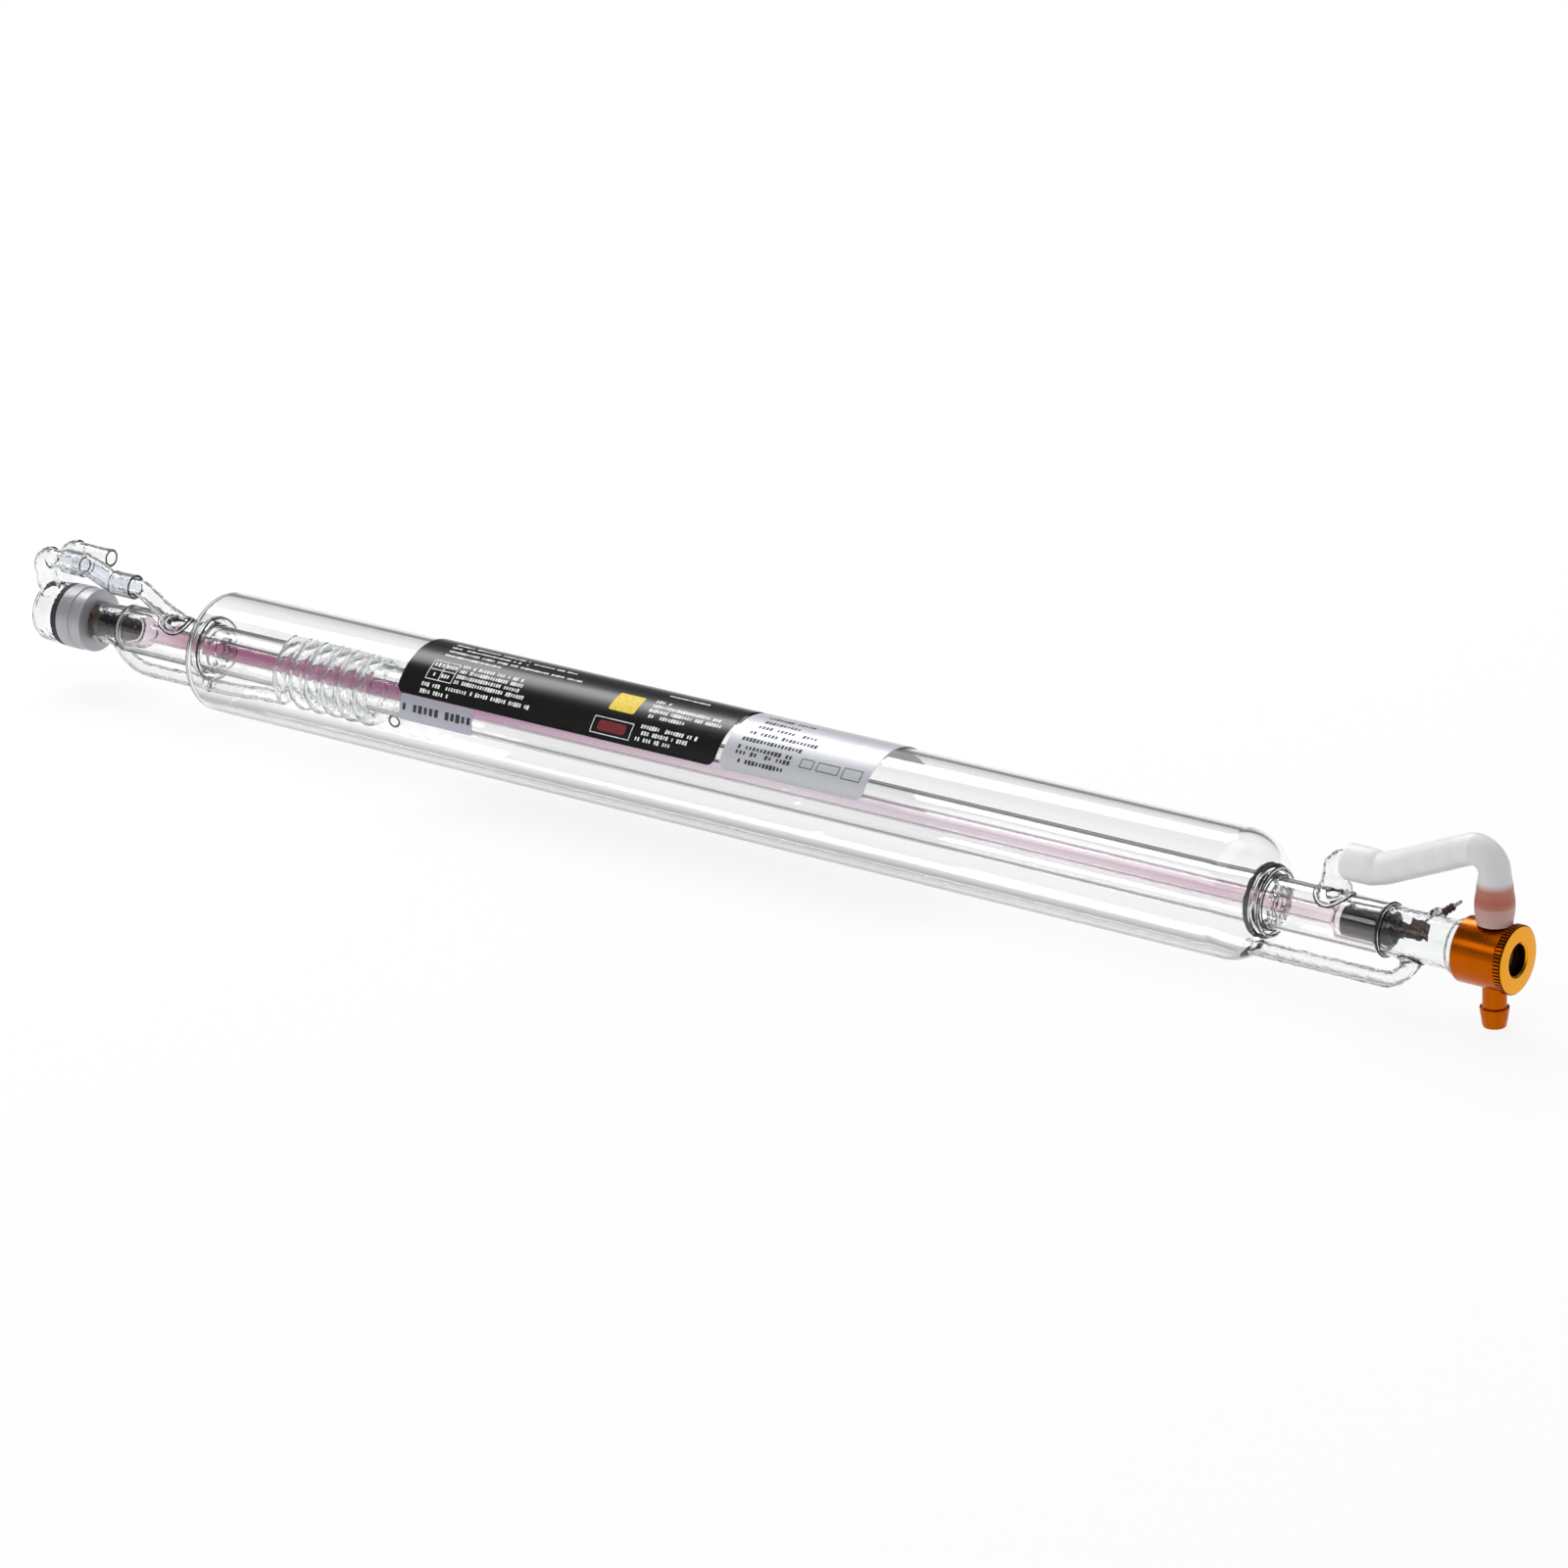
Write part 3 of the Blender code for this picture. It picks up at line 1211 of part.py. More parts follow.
def build_labels():
    """Two wide labels over the top of the jacket and a small one below the black one's near edge."""
    wide = (pi / 2 - LABEL_HALF_ANGLE, pi / 2 + LABEL_HALF_ANGLE)
    low = wide[1] + GAP / JACKET_R
    small = (low, low + SERIAL_LABEL_HEIGHT / JACKET_R)
    grey_start = BLACK_LABEL_START + BLACK_LABEL_LENGTH + LABEL_SPACE
    black = (BLACK_LABEL_START, BLACK_LABEL_LENGTH, wide, LABEL_CORNER)
    grey = (grey_start, GREY_LABEL_LENGTH, wide, LABEL_CORNER)
    serial = (SERIAL_LABEL_START, SERIAL_LABEL_LENGTH, small, SERIAL_LABEL_CORNER)
    build_label("black_label", "black_label_film", *black)
    build_label("grey_label", "silver_label_film", *grey)
    build_label("serial_label", "silver_label_film", *serial)


def main():
    clear_scene()
    build_outer_jacket()
    build_water_jacket()
    build_discharge_tube()
    build_bore_spacers()
    build_front_chamber()
    build_rear_chamber()
    build_gas_bridges()
    build_gas_return_coil()
    build_front_nipple()
    build_rear_nipple()
    build_electrodes()
    build_output_head()
    build_output_bezel()
    build_output_optics()
    build_water_barbs()
    build_front_hose()
    build_rear_mirror_holder()
    build_rear_water_cap()
    build_rear_hose()
    build_labels()


main()
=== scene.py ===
"""Looks of a water-cooled glass CO2 laser tube with an amber anodised output head.

Metres, with +Z up. The X axis is the optical axis and +X is the output end. The origin is on that
axis, halfway along the straight barrel of the outer glass jacket.
"""

from math import asin, atan2, cos, pi, radians, sin, sqrt, tan

import bmesh
import bpy
from mathutils import Matrix, Vector

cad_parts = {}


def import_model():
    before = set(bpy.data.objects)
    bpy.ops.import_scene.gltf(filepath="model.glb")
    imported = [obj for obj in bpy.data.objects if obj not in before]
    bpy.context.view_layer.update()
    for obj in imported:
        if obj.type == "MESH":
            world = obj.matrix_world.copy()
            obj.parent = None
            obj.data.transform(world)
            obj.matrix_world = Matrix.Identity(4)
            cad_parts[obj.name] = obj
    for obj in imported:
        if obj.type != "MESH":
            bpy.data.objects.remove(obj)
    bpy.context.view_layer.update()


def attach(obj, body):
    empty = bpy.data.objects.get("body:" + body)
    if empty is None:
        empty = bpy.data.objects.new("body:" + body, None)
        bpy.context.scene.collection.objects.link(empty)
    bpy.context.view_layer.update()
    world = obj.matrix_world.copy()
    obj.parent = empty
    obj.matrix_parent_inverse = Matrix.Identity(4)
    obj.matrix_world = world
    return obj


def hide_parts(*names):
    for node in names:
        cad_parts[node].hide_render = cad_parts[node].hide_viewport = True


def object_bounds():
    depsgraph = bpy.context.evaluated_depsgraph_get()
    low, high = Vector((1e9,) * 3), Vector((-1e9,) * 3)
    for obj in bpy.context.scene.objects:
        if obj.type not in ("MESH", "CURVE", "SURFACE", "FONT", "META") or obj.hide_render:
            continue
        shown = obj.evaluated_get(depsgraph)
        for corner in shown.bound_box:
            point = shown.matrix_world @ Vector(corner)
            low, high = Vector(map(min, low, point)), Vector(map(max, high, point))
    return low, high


# Clearance between pieces that are fused, glued or screwed together
GAP = 0.0003
EDGE = 0.0005
# How far a fine line stands off the surface under it
LIFT = 0.0001

# Outer gas jacket
JACKET_R = 0.0250
JACKET_WALL = 0.0018
BARREL_END = 0.2490
FRONT_DOME = (0.0172, 0.0200)
REAR_DOME = (0.0105, 0.0248)
NECK_BEAD_R = 0.0139
FRONT_BEAD_DEPTH = 0.0058
REAR_BEAD_DEPTH = 0.0042

# Water jacket and discharge tube
WATER_R = 0.0100
WATER_WALL = 0.0015
FRONT_SEAL = 0.3155
REAR_SEAL = -0.3040
BORE_R = 0.00375
BORE_WALL = 0.0011
CUP_R = 0.0075
CUP_WALL = 0.0010
FRONT_CUP_LENGTH = 0.0195
REAR_CUP_LENGTH = 0.0085
CUP_FLARE = 0.0045
SPACER_THICKNESS = 0.0016
SPACER_SLOT_R = 0.0012
FRONT_SPACER_X = BARREL_END + 0.0190
REAR_SPACER_X = -BARREL_END - 0.0040

# End chambers
FRONT_CHAMBER_R = 0.0095
FRONT_CHAMBER_LENGTH = 0.0322
COLLAR_R = 0.0110
COLLAR_LENGTH = 0.0028
REAR_CHAMBER_R = 0.0086
REAR_CHAMBER_LENGTH = 0.0170
CHAMBER_WALL = 0.0013

# Glass bridges between the chambers and the jacket
SIDE_ANGLE = radians(-116)
FRONT_BRIDGE_R = 0.00315
FRONT_BRIDGE_FOOT_R = 0.0045
FRONT_BRIDGE_OFFSET = 0.0180
FRONT_BRIDGE_BEND = 0.0095
FRONT_BRIDGE_LEAN = radians(90)
FRONT_BRIDGE_X = FRONT_SEAL + 0.0115
REAR_BRIDGE_R = 0.00295
REAR_BRIDGE_FOOT_R = 0.0034
REAR_BRIDGE_OFFSET = 0.0150
REAR_BRIDGE_BEND = 0.0270
REAR_BRIDGE_LEAN = radians(45)
REAR_BRIDGE_X = REAR_SEAL + 0.0047
REAR_GAS_HOLE_X = REAR_SEAL - 0.0029
BRIDGE_FOOT_LENGTH = 0.0060
SIDE_WALL = 0.0010
REACH_INSIDE = 0.0020

# Spiral gas return
COIL_TUBE_R = 0.0029
COIL_WALL = 0.0010
COIL_R = WATER_R + 0.0005 + COIL_TUBE_R
COIL_PITCH = 0.0085
COIL_TURNS = 6
COIL_ENTRY_BEND = 0.0075
COIL_BEND_START = -BARREL_END + 0.0309

# Glass water nipples
FRONT_NIPPLE_R = 0.0044
FRONT_NIPPLE_X = FRONT_SEAL - 0.0240
FRONT_NIPPLE_HEIGHT = 0.0233
FRONT_NIPPLE_REACH = 0.0165
FRONT_NIPPLE_BEND = 0.0052
NIPPLE_BULGE = 0.0004
FRONT_NIPPLE_FOOT = ((0.0, 0.0072), (0.0045, 0.0066), (0.0080, 0.0052), (0.0120, 0.0044))
REAR_NIPPLE_R = 0.0038
REAR_NIPPLE_X = REAR_SEAL + 0.0370
REAR_NIPPLE_RAKE = 0.0210
REAR_NIPPLE_HEIGHT = 0.0228
REAR_NIPPLE_REACH = 0.0142
REAR_NIPPLE_BEND = 0.0075
REAR_NIPPLE_FOOT = ((0.0, 0.0056), (0.0050, 0.0052), (0.0085, 0.0042), (0.0120, 0.0038))
NIPPLE_WALL = 0.0010

# Electrodes and their lead-throughs
ELECTRODE_R = 0.0060
ELECTRODE_WALL = 0.0005
ELECTRODE_LIP = 0.0008
CATHODE_END = FRONT_SEAL + 0.0035
CATHODE_LENGTH = 0.0215
ANODE_END = REAR_SEAL - 0.0130
ANODE_LENGTH = 0.0140
LEAD_THICKNESS = 0.0006
LEAD_INSIDE = 0.0040
LEAD_LOW = 0.0010
LEAD_STEPS = (
    (0.0028, 0.0037),
    (0.0066, 0.0037),
    (0.0070, 0.0066),
    (0.0145, 0.0055),
    (0.0145, -0.0010),
    (0.0028, -0.0020),
)
PIN_R = 0.00065
PIN_OUTSIDE = 0.0039
CATHODE_PIN_INSIDE = 0.0080
ARM_BASE_R = 0.0033
ARM_MIDDLE_R = 0.9 * ARM_BASE_R
ARM_TIP_R = 0.0023
ARM_BORE_R = 0.0013
ARM_LENGTH = 0.0026
SLEEVE_R = 0.0016
SLEEVE_LENGTH = 0.0050
SLEEVE_RIBS = 3
SLEEVE_RIB_DEPTH = 0.0004
CATHODE_ARM_X = FRONT_SEAL + 0.0185
CATHODE_ARM_ANGLE = radians(71)
CATHODE_ARM_TILT = radians(40)
ANODE_ARM_X = REAR_SEAL - 0.0085
ANODE_ARM_ANGLE = radians(-25)
ANODE_ARM_TILT = radians(90)

# Output head
HEAD_START = FRONT_SEAL + FRONT_CHAMBER_LENGTH + 2 * GAP
HEAD_END = HEAD_START + 0.0185
HEAD_R = 0.0125
HEAD_BORE_R = 0.0075
APERTURE_R = 0.0060
APERTURE_CHAMFER = 0.0008
BEZEL_START = HEAD_END + GAP
BEZEL_END = BEZEL_START + 0.0030
BEZEL_R = 0.0131
KNURL_TEETH = 60
KNURL_DEPTH = 0.00035
# The share of the knurl's pitch that a tooth takes up
KNURL_SHARE = 0.55
MIRROR_R = 0.0085
OUTPUT_MIRROR_THICKNESS = 0.0024
SEAL_THICKNESS = 0.0011

# Water barbs
BARB_X = HEAD_END - 0.0067
BARB_STEM_R = 0.00455
BARB_SHOULDER_R = 0.0055
BARB_TIP_R = 0.0046
BARB_SHOULDER_HEIGHT = 0.0203
BARB_HEIGHT = 0.0280
BARB_BORE_R = 0.0025
BARB_SEAT_DEPTH = 0.0016

# Link hoses
FRONT_HOSE_R = 0.0060
FRONT_HOSE_WALL = 0.0019
FRONT_HOSE_BULGE_R = 0.0075
FRONT_HOSE_CUFF_R = 0.00685
FRONT_HOSE_KINK = 0.0155
FRONT_HOSE_RISE = 0.0205
FRONT_HOSE_BEND = 0.0080
FRONT_HOSE_EASE = 0.0045
FRONT_HOSE_RUNOUT = 0.0010
REAR_HOSE_R = 0.0046
REAR_HOSE_WALL = 0.0011
REAR_HOSE_OVERLAP = 0.0102
REAR_HOSE_EASE = 0.0020
REAR_HOSE_BEND = 0.0120
REAR_HOSE_STRAIGHT = 0.0030

# Rear mirror holder, gasket and water cap
HOLDER_R = 0.0135
HOLDER_STEP = 0.0003
HOLDER_FRONT = REAR_SEAL - REAR_CHAMBER_LENGTH - 2 * GAP
HOLDER_BACK = HOLDER_FRONT - 0.0130
HOLDER_BAND = HOLDER_BACK + 0.0070
HOLDER_BORE_R = 0.0071
REAR_MIRROR_THICKNESS = 0.0030
GASKET_R = 0.0133
GASKET_BORE_R = 0.0095
GASKET_THICKNESS = 0.0025
GASKET_BACK = HOLDER_BACK - GAP - GASKET_THICKNESS
CAP_R = 0.0131
CAP_MOUTH = GASKET_BACK - GAP
CAP_BACK = CAP_MOUTH - 0.0122
CAP_WALL = 0.0014
CAP_ROUNDING = 0.0038
CAP_ARM_X = (CAP_MOUTH + CAP_BACK) / 2
CAP_ARM_R = 0.0046
CAP_ARM_SPREAD = 0.0080
CAP_ARM_REACH = 0.0240
CAP_NEAR_HEIGHT = 0.0274
CAP_FAR_HEIGHT = 0.0257
CAP_ARM_BEND = 0.0056
CAP_ARM_SHOULDER = 0.0010

# Labels
LABEL_R = JACKET_R + GAP
LABEL_THICKNESS = 0.0002
LABEL_HALF_ANGLE = radians(63)
LABEL_CORNER = 0.0035
BLACK_START = -0.1395
BLACK_LENGTH = 0.1600
GREY_START = BLACK_START + BLACK_LENGTH + 0.0022
GREY_LENGTH = 0.0690
SERIAL_START = -0.1365
SERIAL_LENGTH = 0.0375
SERIAL_HEIGHT = 0.0105
SERIAL_CORNER = 0.0008

# Prints on the labels: rows as (start, end, distance from the jacket's top line towards the near side)
INK = 0.00005
RULE = 0.00035
BLACK_FINE_ROWS = (
    (-0.1268, -0.0900, -0.0026),
    (-0.0860, -0.0652, -0.0012),
    (-0.1268, -0.0885, 0.0008),
    (-0.1258, -0.0588, 0.0040),
    (-0.1255, -0.0980, 0.0070),
    (-0.0175, 0.0010, -0.0012),
)
BLACK_ROWS = (
    (-0.1262, -0.1226, 0.0130),
    (-0.1202, -0.1160, 0.0130),
    (-0.1262, -0.1226, 0.0177),
    (-0.1202, -0.1160, 0.0177),
    (-0.1130, -0.0832, 0.0112),
    (-0.1130, -0.0818, 0.0138),
    (-0.1130, -0.0822, 0.0164),
    (-0.1130, -0.0785, 0.0190),
    (-0.1278, -0.1060, 0.0226),
    (-0.1275, -0.1128, 0.0256),
    (-0.1030, -0.0740, 0.0224),
    (-0.0192, -0.0130, 0.0054),
    (-0.0190, 0.0135, 0.0082),
    (-0.0188, 0.0155, 0.0110),
    (-0.0175, -0.0008, 0.0138),
    (-0.0180, 0.0085, 0.0190),
    (-0.0180, 0.0048, 0.0217),
    (-0.0188, -0.0025, 0.0244),
)
BLACK_CELLS = (-0.1278, -0.1148, 0.0108, 0.0199)
YELLOW_FIELD = (-0.0375, -0.0248, 0.0050, 0.0148)
RED_FRAME = (-0.0412, -0.0220, 0.0188, 0.0256)
RED_FIELD = (-0.0385, -0.0247, 0.0200, 0.0244)
GREY_ROWS = (
    (0.0308, 0.0518, -0.0022),
    (0.0305, 0.0478, 0.0022),
    (0.0300, 0.0585, 0.0062),
    (0.0302, 0.0630, 0.0100),
    (0.0290, 0.0562, 0.0138),
    (0.0290, 0.0555, 0.0176),
    (0.0290, 0.0555, 0.0200),
    (0.0315, 0.0520, 0.0234),
)
GREY_BOXES = (
    (0.0592, 0.0650, 0.0166, 0.0202),
    (0.0672, 0.0772, 0.0166, 0.0202),
    (0.0794, 0.0880, 0.0162, 0.0208),
)
SERIAL_ROWS = ((-0.1342, -0.1010, 0.0334),)

# The pitch and height of the bars in each print
BLACK_FINE_TYPE = (0.0013, 0.0014)
BLACK_TYPE = (0.0013, 0.0019)
GREY_TYPE = (0.0017, 0.0020)
SERIAL_TYPE = (0.0026, 0.0036)

# Facets round a turned piece, by its size
LARGE = 160
MEDIUM = 96
SMALL = 48
FINE = 32
COIL_SIDES = 28
BEAD_SIDES = 12

# Steps along a bend, along bent tubes and across a film
BEND_STEPS = 16
TUBE_STEP = 0.0006
NIPPLE_STEP = 0.0005
FILM_STEP = 0.0008

# The camera that the photograph was taken with, solved from the tube's own ellipses
CAMERA_AZIMUTH = radians(37.734)
CAMERA_ELEVATION = radians(21.168)
CAMERA_ROLL = radians(-2.146)
CAMERA_DISTANCE = 2.696207
CAMERA_RIGHT = 0.036283
CAMERA_UP = -0.008477
CAMERA_ALONG = -0.007882
CAMERA_LENS = 157.5
SENSOR_WIDTH = 36.0
BOUNCES = 40


# Colours, materials and their nodes


def linear(colour):
    """A hex sRGB colour as linear red, green, blue and alpha."""
    parts = [int(colour[i : i + 2], 16) / 255 for i in (1, 3, 5)]
    curve = [p / 12.92 if p <= 0.04045 else ((p + 0.055) / 1.055) ** 2.4 for p in parts]
    return (*curve, 1.0)


def add(tree, kind, inputs=None, stops=(), **settings):
    """Adds a node with its settings; an input that is a socket is linked, any other value is set.

    The stops of a colour ramp are (position, hex colour).
    """
    made = tree.nodes.new(kind)
    for name, value in settings.items():
        setattr(made, name, value)
    for key, value in (inputs or {}).items():
        if isinstance(value, bpy.types.NodeSocket):
            tree.links.new(value, made.inputs[key])
        else:
            made.inputs[key].default_value = value
    if stops:
        marks = made.color_ramp.elements
        while len(marks) < len(stops):
            marks.new(0.5)
        for mark, (position, colour) in zip(marks, stops):
            mark.position = position
            mark.color = linear(colour)
    return made


def principled(name, colour, **sockets):
    """A material with one main shader whose constants sit on its own sockets."""
    material = bpy.data.materials.new(name)
    material.use_nodes = True
    tree = material.node_tree
    tree.nodes.clear()
    shader = add(tree, "ShaderNodeBsdfPrincipled")
    shader.inputs["Base Color"].default_value = linear(colour)
    for key, value in sockets.items():
        socket = key.replace("_", " ").title().replace("Ior", "IOR")
        shader.inputs[socket].default_value = value
    add(tree, "ShaderNodeOutputMaterial", {"Surface": shader.outputs[0]})
    return material, tree, shader


def material_end(tree):
    """The output node of a material."""
    return next(n for n in tree.nodes if n.type == "OUTPUT_MATERIAL")


def in_units(tree, length, width=None):
    """Object coordinates in units of a pattern's real size, along the tube and across it."""
    spot = add(tree, "ShaderNodeTexCoord").outputs["Object"]
    across = 1 / (width or length)
    return add(tree, "ShaderNodeMapping", {"Vector": spot, "Scale": (1 / length, across, across)}).outputs[0]


def along(tree, axis, start, end):
    """How far a point lies between two places on one axis, from 0 to 1."""
    spot = add(tree, "ShaderNodeTexCoord").outputs["Object"]
    apart = add(tree, "ShaderNodeSeparateXYZ", {"Vector": spot})
    span = {"Value": apart.outputs[axis], "From Min": start, "From Max": end}
    return add(tree, "ShaderNodeMapRange", span).outputs[0]


def colour_by(tree, shader, pattern, *stops):
    """Colours a surface by its pattern."""
    tint = add(tree, "ShaderNodeValToRGB", {"Fac": pattern}, stops)
    tree.links.new(tint.outputs["Color"], shader.inputs["Base Color"])


def lift_by(tree, shader, pattern, strength, depth):
    """Raises a surface by its pattern, for what is too fine to model."""
    relief = add(tree, "ShaderNodeBump", {"Height": pattern, "Strength": strength, "Distance": depth})
    tree.links.new(relief.outputs[0], shader.inputs["Normal"])


def let_lamps_through(material, tint):
    """Lets a share of the lamps' light pass straight through, as clear glass does."""
    tree = material.node_tree
    end = material_end(tree).inputs["Surface"]
    solid = end.links[0].from_socket
    clear = add(tree, "ShaderNodeBsdfTransparent", {"Color": linear(tint)})
    shadow = add(tree, "ShaderNodeLightPath").outputs["Is Shadow Ray"]
    mixed = add(tree, "ShaderNodeMixShader", {0: shadow, 1: solid, 2: clear.outputs[0]})
    tree.links.new(mixed.outputs[0], end)


def drawn_borosilicate():
    """Clear borosilicate tubing, drawn in a mill: long, very faint waves run along the tube."""
    material, tree, shader = principled(
        "drawn_borosilicate", "#FEFEFE", transmission_weight=1.0, roughness=0.0, ior=1.474
    )
    wave_length, wave_width = 0.5, 0.0167
    grid = in_units(tree, wave_length, wave_width)
    waves = add(tree, "ShaderNodeTexNoise", {"Vector": grid, "Scale": 1.0, "Detail": 1.0})
    lift_by(tree, shader, waves.outputs[0], 0.002, 0.0006)
    let_lamps_through(material, "#FAFAFA")
    return material


def fused_seam_painted_shade():
    """The line where two glass parts were fused: nearly opaque black-green glass, painted shade for the light
    that the thick seal turns away.
    """
    material, tree, shader = principled(
        "fused_seam_painted_shade",
        "#141A18",
        transmission_weight=0.1,
        roughness=0.12,
        specular_ior_level=0.3,
        ior=1.474,
    )
    ripple_width = 0.002
    grid = in_units(tree, ripple_width)
    ripple = add(tree, "ShaderNodeTexNoise", {"Vector": grid, "Scale": 1.0, "Detail": 2.0})
    colour_by(tree, shader, ripple.outputs[0], (0.35, "#080C0B"), (0.65, "#2E3634"))
    lift_by(tree, shader, ripple.outputs[0], 0.3, 0.0004)
    return material


def flame_worked_borosilicate():
    """Borosilicate worked by hand in a flame: soft dimples a few millimetres wide bend what shows through."""
    material, tree, shader = principled(
        "flame_worked_borosilicate", "#FDFEFE", transmission_weight=1.0, roughness=0.0, ior=1.474
    )
    dimple_width = 0.00455
    grid = in_units(tree, dimple_width)
    dimples = add(tree, "ShaderNodeTexNoise", {"Vector": grid, "Scale": 1.0, "Detail": 2.0})
    lift_by(tree, shader, dimples.outputs[0], 0.45, 0.0010)
    let_lamps_through(material, "#F6F8F8")
    return material


def rose_discharge_glass():
    """The bore tube: its wall absorbs green, so its edges look deeper, and a film tints it by place."""
    material, tree, shader = principled(
        "rose_discharge_glass", "#EAD7E0", transmission_weight=1.0, roughness=0.0, ior=1.474
    )
    colour_by(
        tree,
        shader,
        along(tree, "X", REAR_SEAL, FRONT_SEAL),
        (0.00, "#FBF8FA"),
        (0.03, "#F4E9EF"),
        (0.07, "#D6AFC2"),
        (0.22, "#D2A9C2"),
        (0.32, "#EAD6E2"),
        (0.55, "#FCF8FC"),
        (0.78, "#F8F1F6"),
        (0.91, "#F2E6EC"),
        (0.96, "#FAF4F7"),
        (1.00, "#FEFCFD"),
    )
    wall = add(tree, "ShaderNodeVolumeAbsorption", {"Color": linear("#C873A5"), "Density": 36.0})
    tree.links.new(wall.outputs[0], material_end(tree).inputs["Volume"])
    let_lamps_through(material, "#F6E6EE")
    return material


def amber_anodised(name, colour, worn, painted_shade_colour=None):
    """Aluminium turned on a lathe, then anodised amber: fine tool rings under a glossy dyed layer.

    The rings are drawn 0.2 mm apart, coarser than a fine cut leaves, so that they show. With a
    shade colour given, the aperture's wall and the knurled rim are painted in that darker tone: painted
    shade.
    """
    material, tree, shader = principled(name, colour, metallic=1.0, roughness=0.24)
    ring_pitch, ring_length = 0.0002, 0.05
    grid = in_units(tree, ring_pitch, ring_length)
    rings = add(tree, "ShaderNodeTexNoise", {"Vector": grid, "Scale": 1.0, "Detail": 2.0})
    colour_by(tree, shader, rings.outputs[0], (0.30, worn), (0.70, colour))
    if painted_shade_colour:
        spot = add(tree, "ShaderNodeTexCoord").outputs["Object"]
        across = add(tree, "ShaderNodeVectorMath", {0: spot, 1: (0, 1, 1)}, operation="MULTIPLY")
        spread = add(tree, "ShaderNodeVectorMath", {0: across.outputs[0]}, operation="LENGTH")
        share = add(tree, "ShaderNodeMath", {0: spread.outputs["Value"], 1: BEZEL_R}, operation="DIVIDE")
        # Painted shade: the aperture's wall and the knurled rim are darkened towards the shade colour, by
        # distance from the axis
        bore, rim = APERTURE_R / BEZEL_R, 1 - KNURL_DEPTH / BEZEL_R
        deep = (
            (bore, "#FFFFFF"),
            (bore + 0.01, "#000000"),
            (rim - 0.012, "#000000"),
            (rim - 0.004, "#FFFFFF"),
        )
        shade = add(tree, "ShaderNodeValToRGB", {"Fac": share.outputs[0]}, deep).outputs["Color"]
        bare = shader.inputs["Base Color"].links[0].from_socket
        tones = {"Factor": shade, 6: bare, 7: linear(painted_shade_colour)}
        tint = add(tree, "ShaderNodeMix", tones, data_type="RGBA").outputs[2]
        tree.links.new(tint, shader.inputs["Base Color"])
    span = {"Value": rings.outputs[0], "From Min": 0.3, "From Max": 0.7, "To Min": 0.20, "To Max": 0.30}
    rough = add(tree, "ShaderNodeMapRange", span)
    tree.links.new(rough.outputs[0], shader.inputs["Roughness"])
    lift_by(tree, shader, rings.outputs[0], 0.08, 0.00004)
    return material


def satin_aluminium():
    """Bare turned aluminium: satin, with tool rings about a tenth of a millimetre apart."""
    material, tree, shader = principled("satin_aluminium", "#B8B8BD", metallic=0.7, roughness=0.46)
    ring_pitch, ring_length = 0.000125, 0.0333
    grid = in_units(tree, ring_pitch, ring_length)
    rings = add(tree, "ShaderNodeTexNoise", {"Vector": grid, "Scale": 1.0, "Detail": 2.0})
    colour_by(tree, shader, rings.outputs[0], (0.30, "#A6A6AC"), (0.70, "#BCBCC1"))
    lift_by(tree, shader, rings.outputs[0], 0.3, 0.00005)
    return material


def moulded_rubber():
    """Black moulded nitrile rubber: dull and pitted, the pits drawn coarser so that they show."""
    material, tree, shader = principled("moulded_rubber", "#26262A", roughness=0.62)
    pit_width = 0.0004
    grid = in_units(tree, pit_width)
    skin = add(tree, "ShaderNodeTexNoise", {"Vector": grid, "Scale": 1.0, "Detail": 3.0})
    colour_by(tree, shader, skin.outputs[0], (0.3, "#1D1D20"), (0.7, "#323236"))
    lift_by(tree, shader, skin.outputs[0], 0.3, 0.00005)
    return material


def milky_silicone():
    """Extruded silicone hose: milky and soft, with the amber barb glowing through where the two meet."""
    material, tree, shader = principled(
        "milky_silicone",
        "#E6E6E9",
        roughness=0.34,
        ior=1.41,
        subsurface_weight=0.6,
        subsurface_radius=(1.0, 1.0, 1.0),
        subsurface_scale=0.002,
    )
    cloud_width = 0.00833
    grid = in_units(tree, cloud_width)
    cloud = add(tree, "ShaderNodeTexNoise", {"Vector": grid, "Scale": 1.0, "Detail": 2.0})
    clouds = ((0.3, "#DEDEE0"), (0.7, "#E8E8EA"))
    plain = add(tree, "ShaderNodeValToRGB", {"Fac": cloud.outputs[0]}, clouds).outputs["Color"]
    hose_top = 0.0310
    up_the_barb = along(tree, "Z", HEAD_R, hose_top)
    bands = (
        (0.00, "#DDBDB4"),
        (0.38, "#D8AA9E"),
        (0.42, "#CC8675"),
        (0.52, "#C6705C"),
        (0.76, "#CC8270"),
        (0.84, "#E2C6BE"),
        (0.92, "#F4F2F2"),
    )
    glow = add(tree, "ShaderNodeValToRGB", {"Fac": up_the_barb}, bands).outputs["Color"]
    over_barb = along(tree, "X", BARB_X - 0.0090, BARB_X - 0.0080)
    tones = {"Factor": over_barb, 6: plain, 7: glow}
    mixed = add(tree, "ShaderNodeMix", tones, data_type="RGBA", blend_type="MULTIPLY")
    tree.links.new(mixed.outputs[2], shader.inputs["Base Color"])
    lift_by(tree, shader, cloud.outputs[0], 0.03, 0.0002)
    return material


def clear_hose():
    """Clear soft hose: a bluish grey see-through wall, a little hazy."""
    material, tree, shader = principled(
        "clear_hose", "#F0F2F6", transmission_weight=1.0, roughness=0.06, ior=1.42
    )
    haze_width = 0.002
    grid = in_units(tree, haze_width)
    haze = add(tree, "ShaderNodeTexNoise", {"Vector": grid, "Scale": 1.0, "Detail": 2.0})
    rough = add(tree, "ShaderNodeMapRange", {"Value": haze.outputs[0], "To Min": 0.02, "To Max": 0.10})
    tree.links.new(rough.outputs[0], shader.inputs["Roughness"])
    let_lamps_through(material, "#F0F3F7")
    return material


